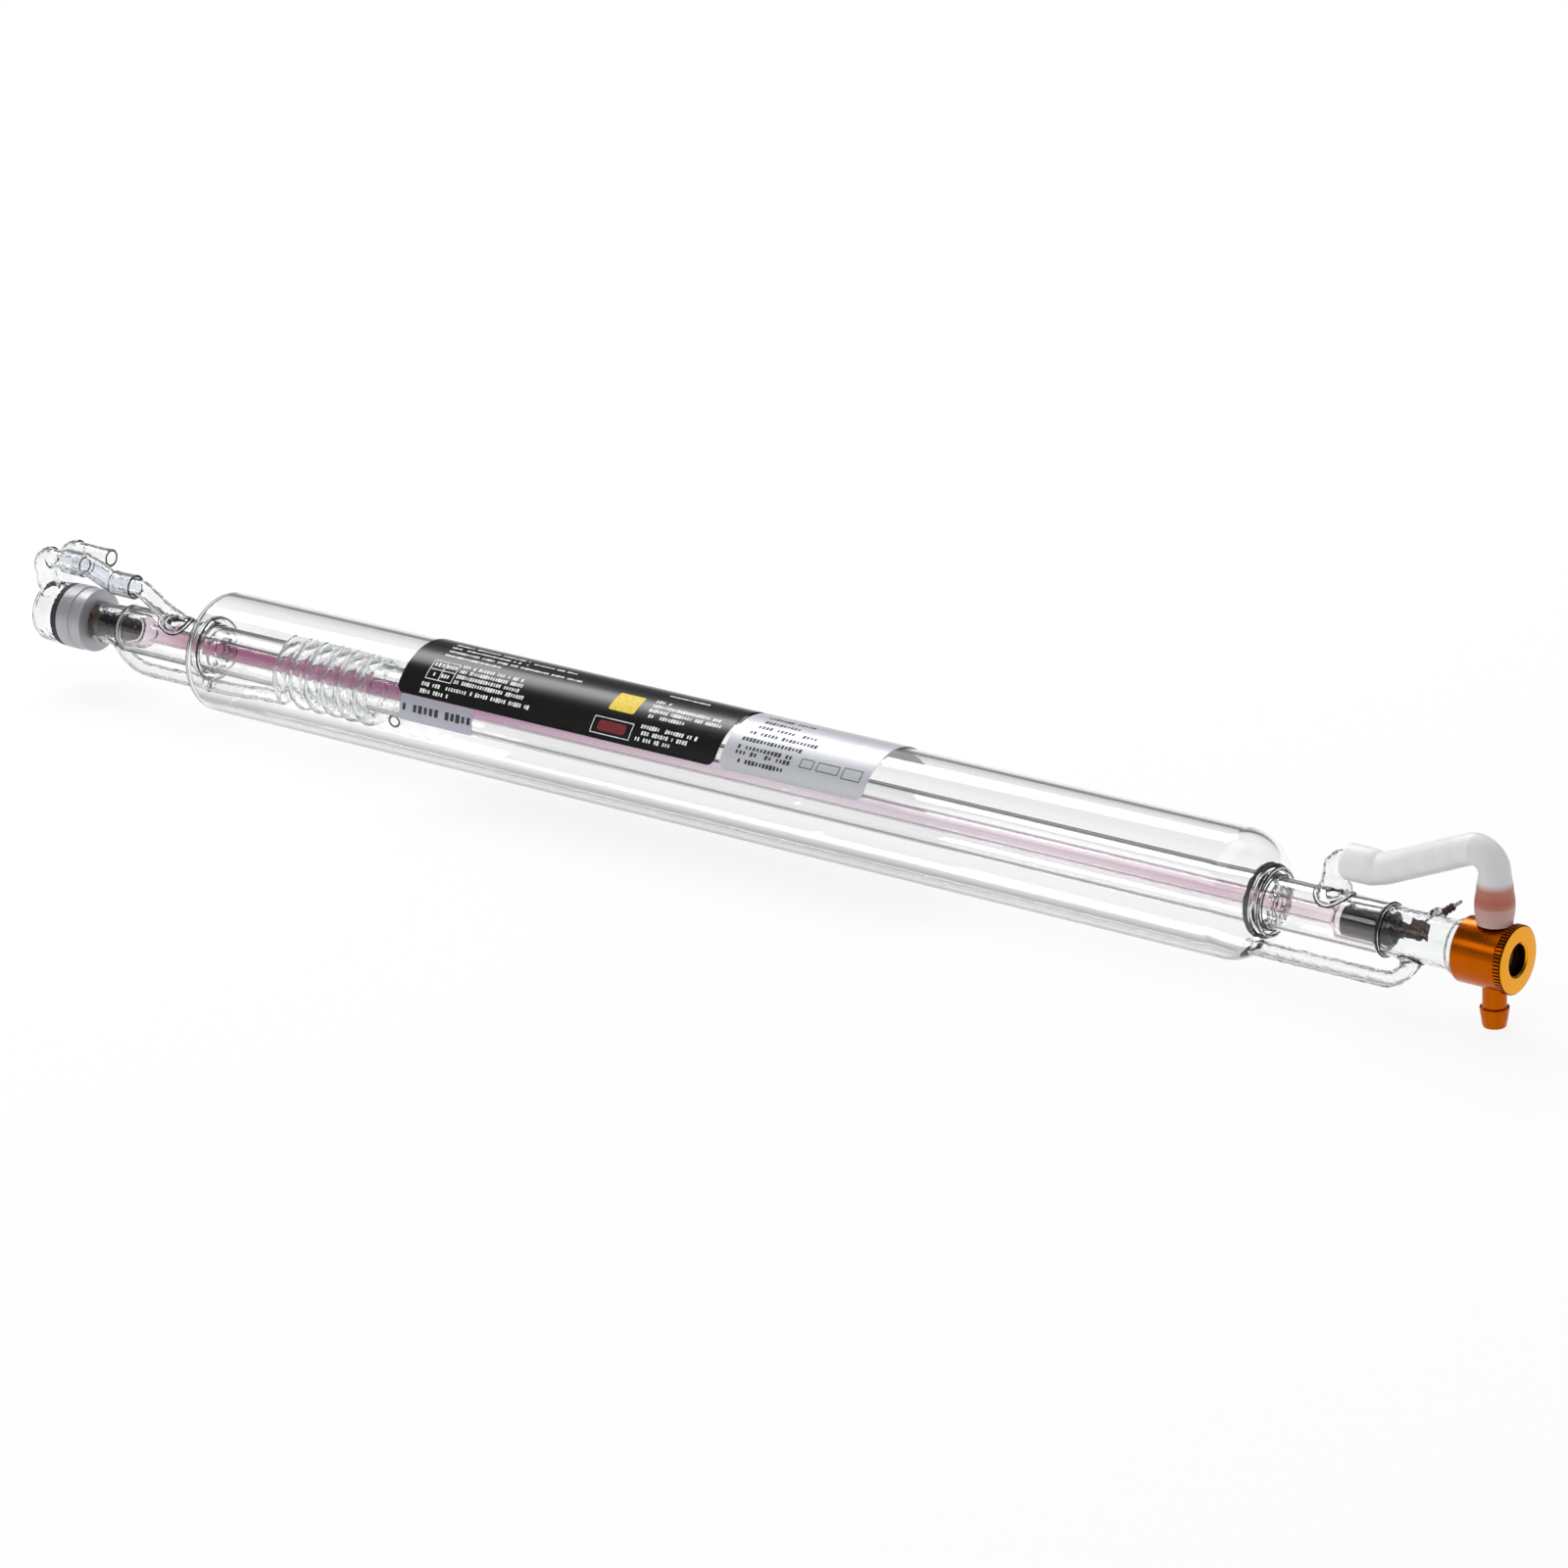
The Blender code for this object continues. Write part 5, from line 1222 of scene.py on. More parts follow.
def hollow_chamber(chamber, span, chamber_r, arm, bridge):
    """Adds the lead-through arm to a chamber, then hollows both and opens the bridge hole."""
    root, way = arm
    tip = root + way * ARM_LENGTH
    line = [root - way * CHAMBER_WALL, root + way * CHAMBER_WALL, tip]
    skirt = tube("helper", line, [ARM_BASE_R, ARM_MIDDLE_R, ARM_TIP_R])
    shape_with(chamber, [skirt], "UNION")
    bridge_x, bridge_r = bridge
    low = around(bridge_x, chamber_r - 3 * CHAMBER_WALL, SIDE_ANGLE)
    high = around(bridge_x, chamber_r + 3 * CHAMBER_WALL, SIDE_ANGLE)
    cutters = [
        rod((span[0] - CHAMBER_WALL, 0, 0), (span[1] + CHAMBER_WALL, 0, 0), chamber_r - CHAMBER_WALL, MEDIUM),
        rod(root - way * 3 * CHAMBER_WALL, tip + way * ARM_LENGTH, ARM_BORE_R),
        rod(low, high, bridge_r - SIDE_WALL),
    ]
    shape_with(chamber, cutters, "DIFFERENCE")


def build_front_chamber(glass):
    """Chamber between the cathode and the output head, with a collar where the head is glued on."""
    start = FRONT_SEAL + GAP
    end = start + FRONT_CHAMBER_LENGTH
    neck = end - COLLAR_LENGTH
    soft = 2 * EDGE
    outline = [(start, 0)]
    outline += arc((start + soft, FRONT_CHAMBER_R - soft), soft, pi, pi / 2, 6)
    outline += [(neck - 2 * EDGE, FRONT_CHAMBER_R), (neck, FRONT_CHAMBER_R + EDGE)]
    outline += arc((neck + 2 * EDGE, COLLAR_R - EDGE), EDGE, pi, pi / 2, 4)
    outline += arc((end - EDGE, COLLAR_R - EDGE), EDGE, pi / 2, 0, 4)
    outline.append((end, 0))
    chamber = lathe("front_end_chamber_glass", outline, MEDIUM, ring=False)
    hollow_chamber(chamber, (start, end), FRONT_CHAMBER_R, cathode_arm(), (FRONT_BRIDGE_X, FRONT_BRIDGE_R))
    dress(chamber, glass, "borosilicate_glass", "front_end_chamber")


def build_rear_chamber(glass):
    """Chamber between the anode and the rear mirror holder."""
    start = REAR_SEAL - GAP
    end = start - REAR_CHAMBER_LENGTH
    soft = 2 * EDGE
    outline = [(end, 0)]
    outline += arc((end + soft, REAR_CHAMBER_R - soft), soft, pi, pi / 2, 6)
    outline += arc((start - soft, REAR_CHAMBER_R - soft), soft, pi / 2, 0, 6)
    outline.append((start, 0))
    chamber = lathe("rear_end_chamber_glass", outline, MEDIUM, ring=False)
    hollow_chamber(chamber, (end, start), REAR_CHAMBER_R, anode_arm(), (REAR_GAS_HOLE_X, REAR_BRIDGE_R))
    dress(chamber, glass, "borosilicate_glass", "rear_end_chamber")


def build_bridge(name, dome, seal, elbow_x, offset, lean, chamber_r, radii, bend, glass):
    """Bridge tube from inside a dome, along the outside, and through an elbow to its chamber."""
    side = 1 if elbow_x > 0 else -1
    radius, foot_radius = radii
    start = around(side * bridge_end(dome, offset), offset, SIDE_ANGLE)
    elbow = around(elbow_x, offset, SIDE_ANGLE)
    leg = Vector((side * cos(lean), 0, 0)) - sin(lean) * around(0, 1, SIDE_ANGLE)
    length = (offset - chamber_r + CHAMBER_WALL + radius * cos(lean)) / sin(lean)
    path = bent_path([start, elbow, elbow + leg * length], [bend])
    whole = distances(path)[-1]
    flare = [(0, radius), (whole - BRIDGE_FOOT_LENGTH, radius), (whole, foot_radius)]
    path, (outer,) = stationed(path, TUBE_STEP, flare)
    bridge = tube(f"{name}_glass", path, outer, radius - SIDE_WALL)
    reach = Vector((side * 8 * radius, 0, 0))
    rim = Vector((seal + side * GAP, 0, 0))
    saddle = rod(rim - reach / 8, rim + reach, chamber_r + GAP, MEDIUM)
    shoulder = rod(rim - reach, rim, WATER_R + GAP, MEDIUM)
    shape_with(bridge, [saddle, shoulder], "DIFFERENCE")
    dress(bridge, glass, "borosilicate_glass", name)


def coil_path():
    """Straight tail from the dome seal, a bend into the winding, then the turns of the spiral."""
    tail_start = -bridge_end(REAR_DOME, REAR_BRIDGE_OFFSET) + GAP
    points = []
    straight = 12
    tail_end = tail_start + 2 * COIL_TUBE_R
    for k in range(3):
        points.append(around(tail_start + (tail_end - tail_start) * k / 2, REAR_BRIDGE_OFFSET, SIDE_ANGLE))
    for k in range(1, straight):
        share = k / straight
        x = tail_end + (COIL_BEND_START - tail_end) * share
        offset = REAR_BRIDGE_OFFSET + (COIL_R - REAR_BRIDGE_OFFSET) * eased(share)
        points.append(around(x, offset, SIDE_ANGLE))
    lead = atan2(COIL_PITCH, 2 * pi * COIL_R)
    for k in range(BEND_STEPS + 1):
        slope = (pi / 2 - lead) * k / BEND_STEPS
        x = COIL_BEND_START + COIL_ENTRY_BEND * sin(slope)
        angle = SIDE_ANGLE - COIL_ENTRY_BEND * (1 - cos(slope)) / COIL_R
        points.append(around(x, COIL_R, angle))
    mouth = -pi / 2 - 2 * pi * COIL_TURNS
    steps_per_turn = 72
    steps = round((angle - mouth) / (2 * pi) * steps_per_turn)
    for k in range(1, steps + 1):
        turn = angle + (mouth - angle) * k / steps
        points.append(around(x + COIL_PITCH * (angle - turn) / (2 * pi), COIL_R, turn))
    return points


def build_gas_return_coil(glass, tree):
    """The spiral gas return: one bent glass tube, open inside the jacket."""
    coil = grow(
        tree,
        line_object(coil_path()),
        "gas_return_coil_glass",
        tube_radius=COIL_TUBE_R,
        wall=COIL_WALL,
        sides=COIL_SIDES,
        material=glass,
    )
    dress(coil, glass, "borosilicate_glass", "gas_return_coil")


def build_front_nipple(glass):
    """Glass nipple above the front of the water jacket, bent forwards into the silicone hose."""
    tip_x = FRONT_NIPPLE_X + FRONT_NIPPLE_REACH
    corners = [
        (FRONT_NIPPLE_X, 0, WATER_R - 2 * WATER_WALL),
        (FRONT_NIPPLE_X, 0, FRONT_NIPPLE_HEIGHT),
        (tip_x, 0, FRONT_NIPPLE_HEIGHT),
    ]
    path = bent_path(corners, [FRONT_NIPPLE_BEND])
    tip = distances(path)[-1]
    outside = [
        *FRONT_NIPPLE_FOOT,
        (tip - 2 * FRONT_NIPPLE_R, FRONT_NIPPLE_R),
        (tip - FRONT_NIPPLE_R, FRONT_NIPPLE_R + NIPPLE_BULGE),
        (tip, FRONT_NIPPLE_R - NIPPLE_BULGE),
    ]
    inside = [(d, r - NIPPLE_WALL) for d, r in FRONT_NIPPLE_FOOT]
    path, (outer, inner) = stationed(path, NIPPLE_STEP, outside, inside)
    nipple = tube("front_water_nipple_glass", path, outer, inner)
    saddle = rod((FRONT_NIPPLE_X - WATER_R, 0, 0), (FRONT_NIPPLE_X + WATER_R, 0, 0), WATER_R + GAP, MEDIUM)
    shape_with(nipple, [saddle], "DIFFERENCE")
    dress(nipple, glass, "borosilicate_glass", "front_water_nipple")


def near_arm_tip():
    return Vector((CAP_ARM_X + CAP_ARM_REACH, -CAP_ARM_SPREAD, CAP_NEAR_HEIGHT))


def build_rear_nipple(glass):
    """Glass nipple on the rear of the water jacket, leaning back and to the near side, then bent level."""
    foot = Vector((REAR_NIPPLE_X, 0, 0)) + nipple_lean() * (WATER_R - WATER_WALL)
    path = bent_path([foot, rear_nipple_top(), rear_nipple_mouth()], [REAR_NIPPLE_BEND])
    inside = [(d, r - NIPPLE_WALL) for d, r in REAR_NIPPLE_FOOT]
    path, (outer, inner) = stationed(path, NIPPLE_STEP, REAR_NIPPLE_FOOT, inside)
    nipple = tube("rear_water_nipple_glass", path, outer, inner)
    saddle_start = (REAR_NIPPLE_X - 2 * WATER_R, 0, 0)
    saddle = rod(saddle_start, (REAR_NIPPLE_X + WATER_R / 2, 0, 0), WATER_R + GAP, MEDIUM)
    shape_with(nipple, [saddle], "DIFFERENCE")
    dress(nipple, glass, "borosilicate_glass", "rear_water_nipple")


def cap_arm(side, height, diameter, overshoot):
    """A solid arm of the water cap, from low in the cap up to its nipple."""
    foot = Vector((CAP_ARM_X, side * CAP_ARM_SPREAD / 2, CAP_R / 2))
    knee = Vector((CAP_ARM_X, side * CAP_ARM_SPREAD, height))
    tip = knee + Vector((CAP_ARM_REACH + overshoot, 0, 0))
    path = bent_path([foot, knee, tip], [CAP_ARM_BEND])
    whole = distances(path)[-1]
    full = diameter / 2
    nipple = full - (CAP_ARM_R - REAR_NIPPLE_R)
    shoulder = whole - overshoot - CAP_ARM_REACH + CAP_ARM_BEND
    taper = [(0, full), (shoulder, full), (shoulder + CAP_ARM_SHOULDER, nipple), (whole, nipple)]
    path, (outer,) = stationed(path, NIPPLE_STEP, taper)
    return tube("helper", path, outer)


def build_rear_water_cap(glass):
    """Blown water cap behind the mirror holder, with two arms that end in hose nipples."""
    centre = (CAP_BACK + CAP_ROUNDING, CAP_R - CAP_ROUNDING)
    outline = [(CAP_MOUTH, 0), (CAP_MOUTH, CAP_R)]
    outline += arc(centre, CAP_ROUNDING, pi / 2, pi, 16) + [(CAP_BACK, 0)]
    cap = lathe("rear_water_cap_glass", outline, MEDIUM, ring=False)
    hollow = [(CAP_MOUTH + CAP_WALL, 0), (CAP_MOUTH + CAP_WALL, CAP_R - CAP_WALL)]
    hollow += arc(centre, CAP_ROUNDING - CAP_WALL, pi / 2, pi, 12) + [(CAP_BACK + CAP_WALL, 0)]
    arms = ((-1, CAP_NEAR_HEIGHT), (1, CAP_FAR_HEIGHT))
    shape_with(cap, [cap_arm(side, height, 2 * CAP_ARM_R, 0) for side, height in arms], "UNION")
    bores = [cap_arm(side, height, 2 * (CAP_ARM_R - NIPPLE_WALL), CAP_WALL) for side, height in arms]
    shape_with(cap, [lathe("helper", hollow, MEDIUM, ring=False)] + bores, "DIFFERENCE")
    dress(cap, glass, "borosilicate_glass", "rear_water_cap")


def ring_round(x, radius, count=96):
    """A ring round the tube's own axis."""
    return [around(x, radius, 2 * pi * k / count) for k in range(count)]


def branch_feet():
    """Where each branch tube leaves its carrier: a point on the axis, the direction, the carrier's radius."""
    return {
        "front_water_nipple": (Vector((FRONT_NIPPLE_X, 0, 0)), Vector((0, 0, 1)), WATER_R),
        "rear_water_nipple": (Vector((REAR_NIPPLE_X, 0, 0)), nipple_lean(), WATER_R),
        "front_gas_bridge": (Vector((FRONT_BRIDGE_X, 0, 0)), around(0, 1, SIDE_ANGLE), FRONT_CHAMBER_R),
    }


def saddle_ring(node, radius, lift=0.0, count=48):
    """A ring round the foot of a branch tube, laid on the round tube that carries it."""
    centre, way, carrier_r = branch_feet()[node]
    carrier_r += lift
    halvings = 24
    side = way.orthogonal().normalized()
    other = way.cross(side)
    points = []
    for k in range(count):
        turn = 2 * pi * k / count
        start = centre + radius * (cos(turn) * side + sin(turn) * other)
        low, high = 0.0, 2 * carrier_r
        for _ in range(halvings):
            middle = (low + high) / 2
            spot = start + way * middle
            if spot.yz.length < carrier_r:
                low = middle
            else:
                high = middle
        points.append(start + way * low)
    return points


def build_weld_beads(glass, tree):
    """The uneven beads of melted glass that the flame left round each joint."""
    front_neck = BARREL_END + FRONT_DOME[0]
    rear_neck = -BARREL_END - REAR_DOME[0]
    neck_r = NECK_BEAD_R - 4 * GAP
    collar = HEAD_START - COLLAR_LENGTH
    front_seal = FRONT_SEAL + GAP / 2
    rear_seal = REAR_SEAL - GAP / 2
    # The joint, the node that carries the bead, the ring that the bead follows, and the bead's radius
    beads = (
        ("front_water_nipple", "front_water_nipple", saddle_ring("front_water_nipple", 0.0071), 0.0008),
        ("rear_water_nipple", "rear_water_nipple", saddle_ring("rear_water_nipple", 0.0056), 0.0007),
        ("front_gas_bridge", "front_gas_bridge", saddle_ring("front_gas_bridge", 0.0044), 0.0006),
        ("front_end_chamber", "front_end_chamber", ring_round(front_seal, WATER_R - 2 * GAP), 0.0007),
        ("rear_end_chamber", "rear_end_chamber", ring_round(rear_seal, REAR_CHAMBER_R - GAP), 0.0007),
        ("output_collar", "front_end_chamber", ring_round(collar - 2 * GAP, FRONT_CHAMBER_R + LIFT), 0.0006),
        ("front_neck", "outer_jacket", ring_round(front_neck - 8 * LIFT, neck_r), 0.0008),
        ("rear_neck", "outer_jacket", ring_round(rear_neck + 2 * GAP, neck_r), 0.0008),
    )
    for seed, (name, node, ring, radius) in enumerate(beads):
        base = line_object(ring, closed=True)
        values = {"bead_radius": radius, "unevenness": 0.9, "seed": seed, "material": glass}
        dress(grow(tree, base, f"{name}_weld_bead", **values), glass, "borosilicate_glass", node)


def build_dark_seams(glass, tree):
    """Thin lines of painted shade at the seals: round both necks, the nipples' feet, the bridge foot and the
    chambers.
    """
    front_neck = BARREL_END + FRONT_DOME[0]
    rear_neck = -BARREL_END - REAR_DOME[0]
    inside_neck = front_neck - FRONT_BEAD_DEPTH
    collar = HEAD_START - COLLAR_LENGTH
    # The joint, the node that carries the seam, the ring that the seam follows, and the seam's radius
    seams = (
        ("front_neck", "outer_jacket", ring_round(inside_neck, NECK_BEAD_R - 2 * EDGE), 0.0011),
        ("front_neck_foot", "outer_jacket", ring_round(front_neck, WATER_R + 2 * GAP), 0.00030),
        ("rear_neck", "outer_jacket", ring_round(rear_neck + REAR_BEAD_DEPTH, 0.0130), 0.00045),
        ("rear_neck_foot", "outer_jacket", ring_round(rear_neck, WATER_R + 2 * GAP), 0.00032),
        ("front_seal", "front_end_chamber", ring_round(FRONT_SEAL, WATER_R + LIFT), 0.00042),
        ("rear_seal", "rear_end_chamber", ring_round(REAR_SEAL, WATER_R - 4 * LIFT), 0.00042),
        ("collar", "front_end_chamber", ring_round(collar, FRONT_CHAMBER_R + 2 * GAP), 0.00036),
        ("front_nipple", "front_water_nipple", saddle_ring("front_water_nipple", 0.0078, LIFT), 0.00034),
        ("rear_nipple", "rear_water_nipple", saddle_ring("rear_water_nipple", 0.0062, LIFT), 0.00034),
        ("bridge_foot", "front_gas_bridge", saddle_ring("front_gas_bridge", 0.0050, LIFT), 0.00032),
    )
    for seed, (name, node, ring, radius) in enumerate(seams):
        base = line_object(ring, closed=True)
        values = {"bead_radius": radius, "unevenness": 1.0, "seed": seed + 20, "material": glass}
        dress(grow(tree, base, f"{name}_dark_seam", **values), glass, "borosilicate_glass", node)


# Electrodes


def build_electrode(name, start, end, metal):
    """Thin hollow cylinder with a rolled lip at each end."""
    inner = ELECTRODE_R - ELECTRODE_WALL
    lip = ELECTRODE_LIP
    outline = arc((start + lip, ELECTRODE_R - lip), lip, pi, pi / 2, 6)
    outline += arc((end - lip, ELECTRODE_R - lip), lip, pi / 2, 0, 6)
    outline += [(end, inner - lip), (end - 2 * lip, inner), (start + 2 * lip, inner), (start, inner - lip)]
    dress(lathe(f"{name}_shell", outline, MEDIUM), metal, "blackened_nickel", name)


def build_lead_through(label, arm, foot, sleeve_finish, wire):
    """Ribbed sleeve on the tip of an arm, with the bright pin through it, from its foot inside."""
    root, way = arm
    tip = ARM_LENGTH + GAP
    pitch = SLEEVE_LENGTH / SLEEVE_RIBS
    bore = PIN_R + GAP
    outline = [(tip, bore)]
    steps = 8
    for k in range(SLEEVE_RIBS * steps + 1):
        wave = (1 - cos(2 * pi * k / steps)) / 2
        outline.append((tip + pitch * k / steps, SLEEVE_R - SLEEVE_RIB_DEPTH * (1 - wave)))
    outline.append((tip + SLEEVE_LENGTH, bore))
    sleeve = lathe(f"{label}_sleeve_turned", outline, FINE)
    end = tip + SLEEVE_LENGTH + PIN_OUTSIDE
    pin_line = [(foot, 0), (foot, PIN_R), (end - PIN_R, PIN_R)]
    pin_line += arc((end - PIN_R, 0), PIN_R, pi / 2, 0, 6)
    pin = lathe(f"{label}_pin_wire", pin_line, FINE, ring=False)
    turn = Vector((1, 0, 0)).rotation_difference(way).to_matrix().to_4x4()
    for piece in (sleeve, pin):
        piece.data.transform(Matrix.Translation(root) @ turn)
    dress(sleeve, sleeve_finish, "brown_ceramic", f"{label}_pin_sleeve")
    dress(pin, wire, "bright_steel", f"{label}_pin")


def build_cathode_lead(metal):
    """Stepped upright plate from inside the cathode's lip to the foot of its pin, and just beside it."""
    root, way = cathode_arm()
    foot = root - way * CATHODE_PIN_INSIDE
    side = foot.y - PIN_R - GAP
    under_lip = ELECTRODE_R - ELECTRODE_WALL - ELECTRODE_LIP - GAP
    outline = [(-LEAD_INSIDE, under_lip), (0, under_lip), *LEAD_STEPS, (-LEAD_INSIDE, LEAD_LOW)]
    bm = bmesh.new()
    near, far = (
        [bm.verts.new((CATHODE_END + x, y, z)) for x, z in outline] for y in (side - LEAD_THICKNESS, side)
    )
    for k in range(len(outline)):
        n = (k + 1) % len(outline)
        bm.faces.new((near[k], near[n], far[n], far[k]))
    bm.faces.new(near)
    bm.faces.new(far)
    bmesh.ops.bevel(bm, geom=list(bm.edges), offset=LEAD_THICKNESS / 5, segments=2, affect="EDGES")
    dress(mesh_object(bm, "cathode_lead_plate"), metal, "blackened_nickel", "cathode_lead")


# Output head


def build_output_head(amber):
    """Turned head: its bore, the seats of the mirror and its seal, and a seat for each barb."""
    seat = MIRROR_R + GAP
    floor = HEAD_END - (GAP + SEAL_THICKNESS + GAP + OUTPUT_MIRROR_THICKNESS)
    step = floor - SEAL_THICKNESS
    outline = [(HEAD_START, HEAD_BORE_R), (HEAD_START, HEAD_R - EDGE)]
    outline += arc((HEAD_START + EDGE, HEAD_R - EDGE), EDGE, pi, pi / 2, 5)
    outline += arc((HEAD_END - EDGE, HEAD_R - EDGE), EDGE, pi / 2, 0, 5)
    outline += [(HEAD_END, seat), (floor, seat), (floor, APERTURE_R), (step, APERTURE_R), (step, HEAD_BORE_R)]
    head = lathe("output_head_turned", outline, LARGE)
    seats = []
    for side in (1, -1):
        low = (BARB_X, 0, side * (HEAD_R - BARB_SEAT_DEPTH))
        seats.append(rod(low, (BARB_X, 0, side * 2 * HEAD_R), BARB_STEM_R + GAP, SMALL))
    shape_with(head, seats, "DIFFERENCE")
    dress(head, amber, "anodised_amber", "output_head")


def build_output_bezel(amber, rim_amber, tree):
    """Screwed bezel: a knurled rim and a chamfered aperture."""
    root = BEZEL_R - KNURL_DEPTH
    outline = [(BEZEL_START, APERTURE_R), (BEZEL_START, root)]
    outline += arc((BEZEL_END - EDGE, root - EDGE), EDGE, pi / 2, 0, 5)
    outline += [(BEZEL_END, APERTURE_R + APERTURE_CHAMFER), (BEZEL_END - APERTURE_CHAMFER, APERTURE_R)]
    bezel = lathe("output_bezel_turned", outline, LARGE)
    width = 2 * pi * root / KNURL_TEETH * KNURL_SHARE
    length = BEZEL_END - BEZEL_START - EDGE
    teeth = grow(
        tree,
        line_object([Vector((0, 0, 0)), Vector((0.001, 0, 0))]),
        "output_bezel_knurl",
        teeth=KNURL_TEETH,
        rim_radius=BEZEL_R - width / 2,
        tooth_length=length,
        tooth_width=width,
        place_x=BEZEL_START + length / 2,
        material=rim_amber,
    )
    dress(bezel, amber, "anodised_amber", "output_bezel")
    dress(teeth, rim_amber, "anodised_amber", "output_bezel")


def disc(name, start, thickness, radius):
    """Round plate with a narrow bevel round both faces."""
    bevel = min(EDGE, thickness / 4)
    end = start + thickness
    outline = [(start, 0), (start, radius - bevel), (start + bevel, radius)]
    outline += [(end - bevel, radius), (end, radius - bevel), (end, 0)]
    return lathe(name, outline, MEDIUM, ring=False)


def build_optics(selenide, rubber, gold):
    """The output mirror with its seal, and the rear mirror."""
    start = BEZEL_START - GAP - OUTPUT_MIRROR_THICKNESS
    mirror = disc("output_mirror_disc", start, OUTPUT_MIRROR_THICKNESS, MIRROR_R)
    dress(mirror, selenide, "zinc_selenide", "output_mirror")
    section = SEAL_THICKNESS / 2
    centre = (start - GAP - section, (MIRROR_R + APERTURE_R) / 2)
    seal = lathe("output_mirror_oring", arc(centre, section, 0, 2 * pi, 16)[:-1], MEDIUM)
    dress(seal, rubber, "black_rubber", "output_mirror_seal")
    rear = disc("rear_mirror_disc", HOLDER_BACK, REAR_MIRROR_THICKNESS, MIRROR_R)
    dress(rear, gold, "gold_mirror", "rear_mirror")


def build_water_barbs(amber):
    """Two equal barbs, screwed in above and below the head."""
    foot = HEAD_R - BARB_SEAT_DEPTH + GAP
    outline = [(foot, BARB_BORE_R), (foot, BARB_STEM_R)]
    outline += [(BARB_SHOULDER_HEIGHT - EDGE, BARB_STEM_R), (BARB_SHOULDER_HEIGHT, BARB_SHOULDER_R)]
    outline += [(BARB_SHOULDER_HEIGHT + 2 * EDGE, BARB_SHOULDER_R), (BARB_HEIGHT - 2 * EDGE, BARB_TIP_R)]
    outline += [(BARB_HEIGHT - EDGE / 2, BARB_TIP_R - EDGE / 2), (BARB_HEIGHT, BARB_TIP_R - 2 * EDGE)]
    outline.append((BARB_HEIGHT, BARB_BORE_R))
    for name, tilt in (("upper_water_barb", -pi / 2), ("lower_water_barb", pi / 2)):
        barb = lathe(f"{name}_turned", outline, SMALL)
        turn = Matrix.Rotation(tilt, 4, "Y")
        barb.data.transform(Matrix.Translation((BARB_X, 0, 0)) @ turn)
        dress(barb, amber, "anodised_amber", name)


# Hoses, rear holder and gasket


def build_front_hose(silicone):
    """Silicone link hose from the front glass nipple, up and over to the upper barb."""
    bore = FRONT_HOSE_R - FRONT_HOSE_WALL
    nipple = FRONT_NIPPLE_R + NIPPLE_BULGE + GAP
    stem = BARB_STEM_R + 2 * GAP
    shoulder = BARB_SHOULDER_R + GAP
    start_x = FRONT_NIPPLE_X + FRONT_NIPPLE_BEND + GAP
    foot = HEAD_R + GAP
    corners = [
        (start_x, 0, FRONT_NIPPLE_HEIGHT),
        (start_x + FRONT_HOSE_KINK, 0, FRONT_NIPPLE_HEIGHT),
        (BARB_X, 0, FRONT_NIPPLE_HEIGHT + FRONT_HOSE_RISE - GAP / 2),
        (BARB_X, 0, foot),
    ]
    path = bent_path(corners, [2 * FRONT_HOSE_R, FRONT_HOSE_BEND])
    whole = distances(path)[-1]
    nipple_end = FRONT_NIPPLE_X + FRONT_NIPPLE_REACH - start_x
    tip = whole - (BARB_HEIGHT - foot)
    ridge = whole - (BARB_SHOULDER_HEIGHT - foot)
    ease = FRONT_HOSE_EASE
    runout = FRONT_HOSE_RUNOUT
    inner = [
        (0, nipple),
        (nipple_end + GAP, nipple),
        (nipple_end + ease, bore),
        (tip - ease, bore),
        (tip - runout, stem + GAP),
        (ridge - 2 * runout, shoulder + GAP),
        (ridge + runout, shoulder + GAP),
        (ridge + 4 * runout, stem),
        (whole, stem),
    ]
    outer = [
        (0, nipple + FRONT_HOSE_WALL / 2),
        (runout, nipple + FRONT_HOSE_WALL),
        (nipple_end, nipple + FRONT_HOSE_WALL),
        (nipple_end + ease, FRONT_HOSE_R),
        (tip - ease, FRONT_HOSE_R),
        (tip + 2 * runout, FRONT_HOSE_CUFF_R),
        (ridge - runout, FRONT_HOSE_BULGE_R),
        (ridge + 2 * runout, FRONT_HOSE_BULGE_R),
        (whole, FRONT_HOSE_CUFF_R),
    ]
    path, (outer, inner) = stationed(path, TUBE_STEP, outer, inner)
    hose = tube("front_link_hose_soft", path, outer, inner, SMALL)
    dress(hose, silicone, "milky_silicone", "front_link_hose")


def build_rear_hose(clear):
    """Clear link hose from the near arm of the water cap to the rear nipple of the water jacket."""
    bore = REAR_HOSE_R - REAR_HOSE_WALL
    nipple = REAR_NIPPLE_R + GAP
    arm_tip = near_arm_tip()
    mouth = rear_nipple_mouth()
    overlap = Vector((REAR_HOSE_OVERLAP, 0, 0))
    straight = Vector((REAR_HOSE_STRAIGHT, 0, 0))
    corners = [arm_tip - overlap, arm_tip + straight, mouth - straight, mouth + overlap]
    path = bent_path(corners, [REAR_HOSE_BEND, REAR_HOSE_BEND])
    whole = distances(path)[-1]
    grip = REAR_HOSE_OVERLAP + 2 * GAP
    ease = REAR_HOSE_OVERLAP + REAR_HOSE_EASE
    full = nipple + REAR_HOSE_WALL
    places = (0, grip, ease, whole - ease, whole - grip, whole)
    inner = list(zip(places, (nipple, nipple, bore, bore, nipple, nipple)))
    outer = list(zip(places, (full, full, REAR_HOSE_R, REAR_HOSE_R, full, full)))
    path, (outer, inner) = stationed(path, TUBE_STEP, outer, inner)
    dress(tube("rear_link_hose_soft", path, outer, inner, SMALL), clear, "clear_hose", "rear_link_hose")


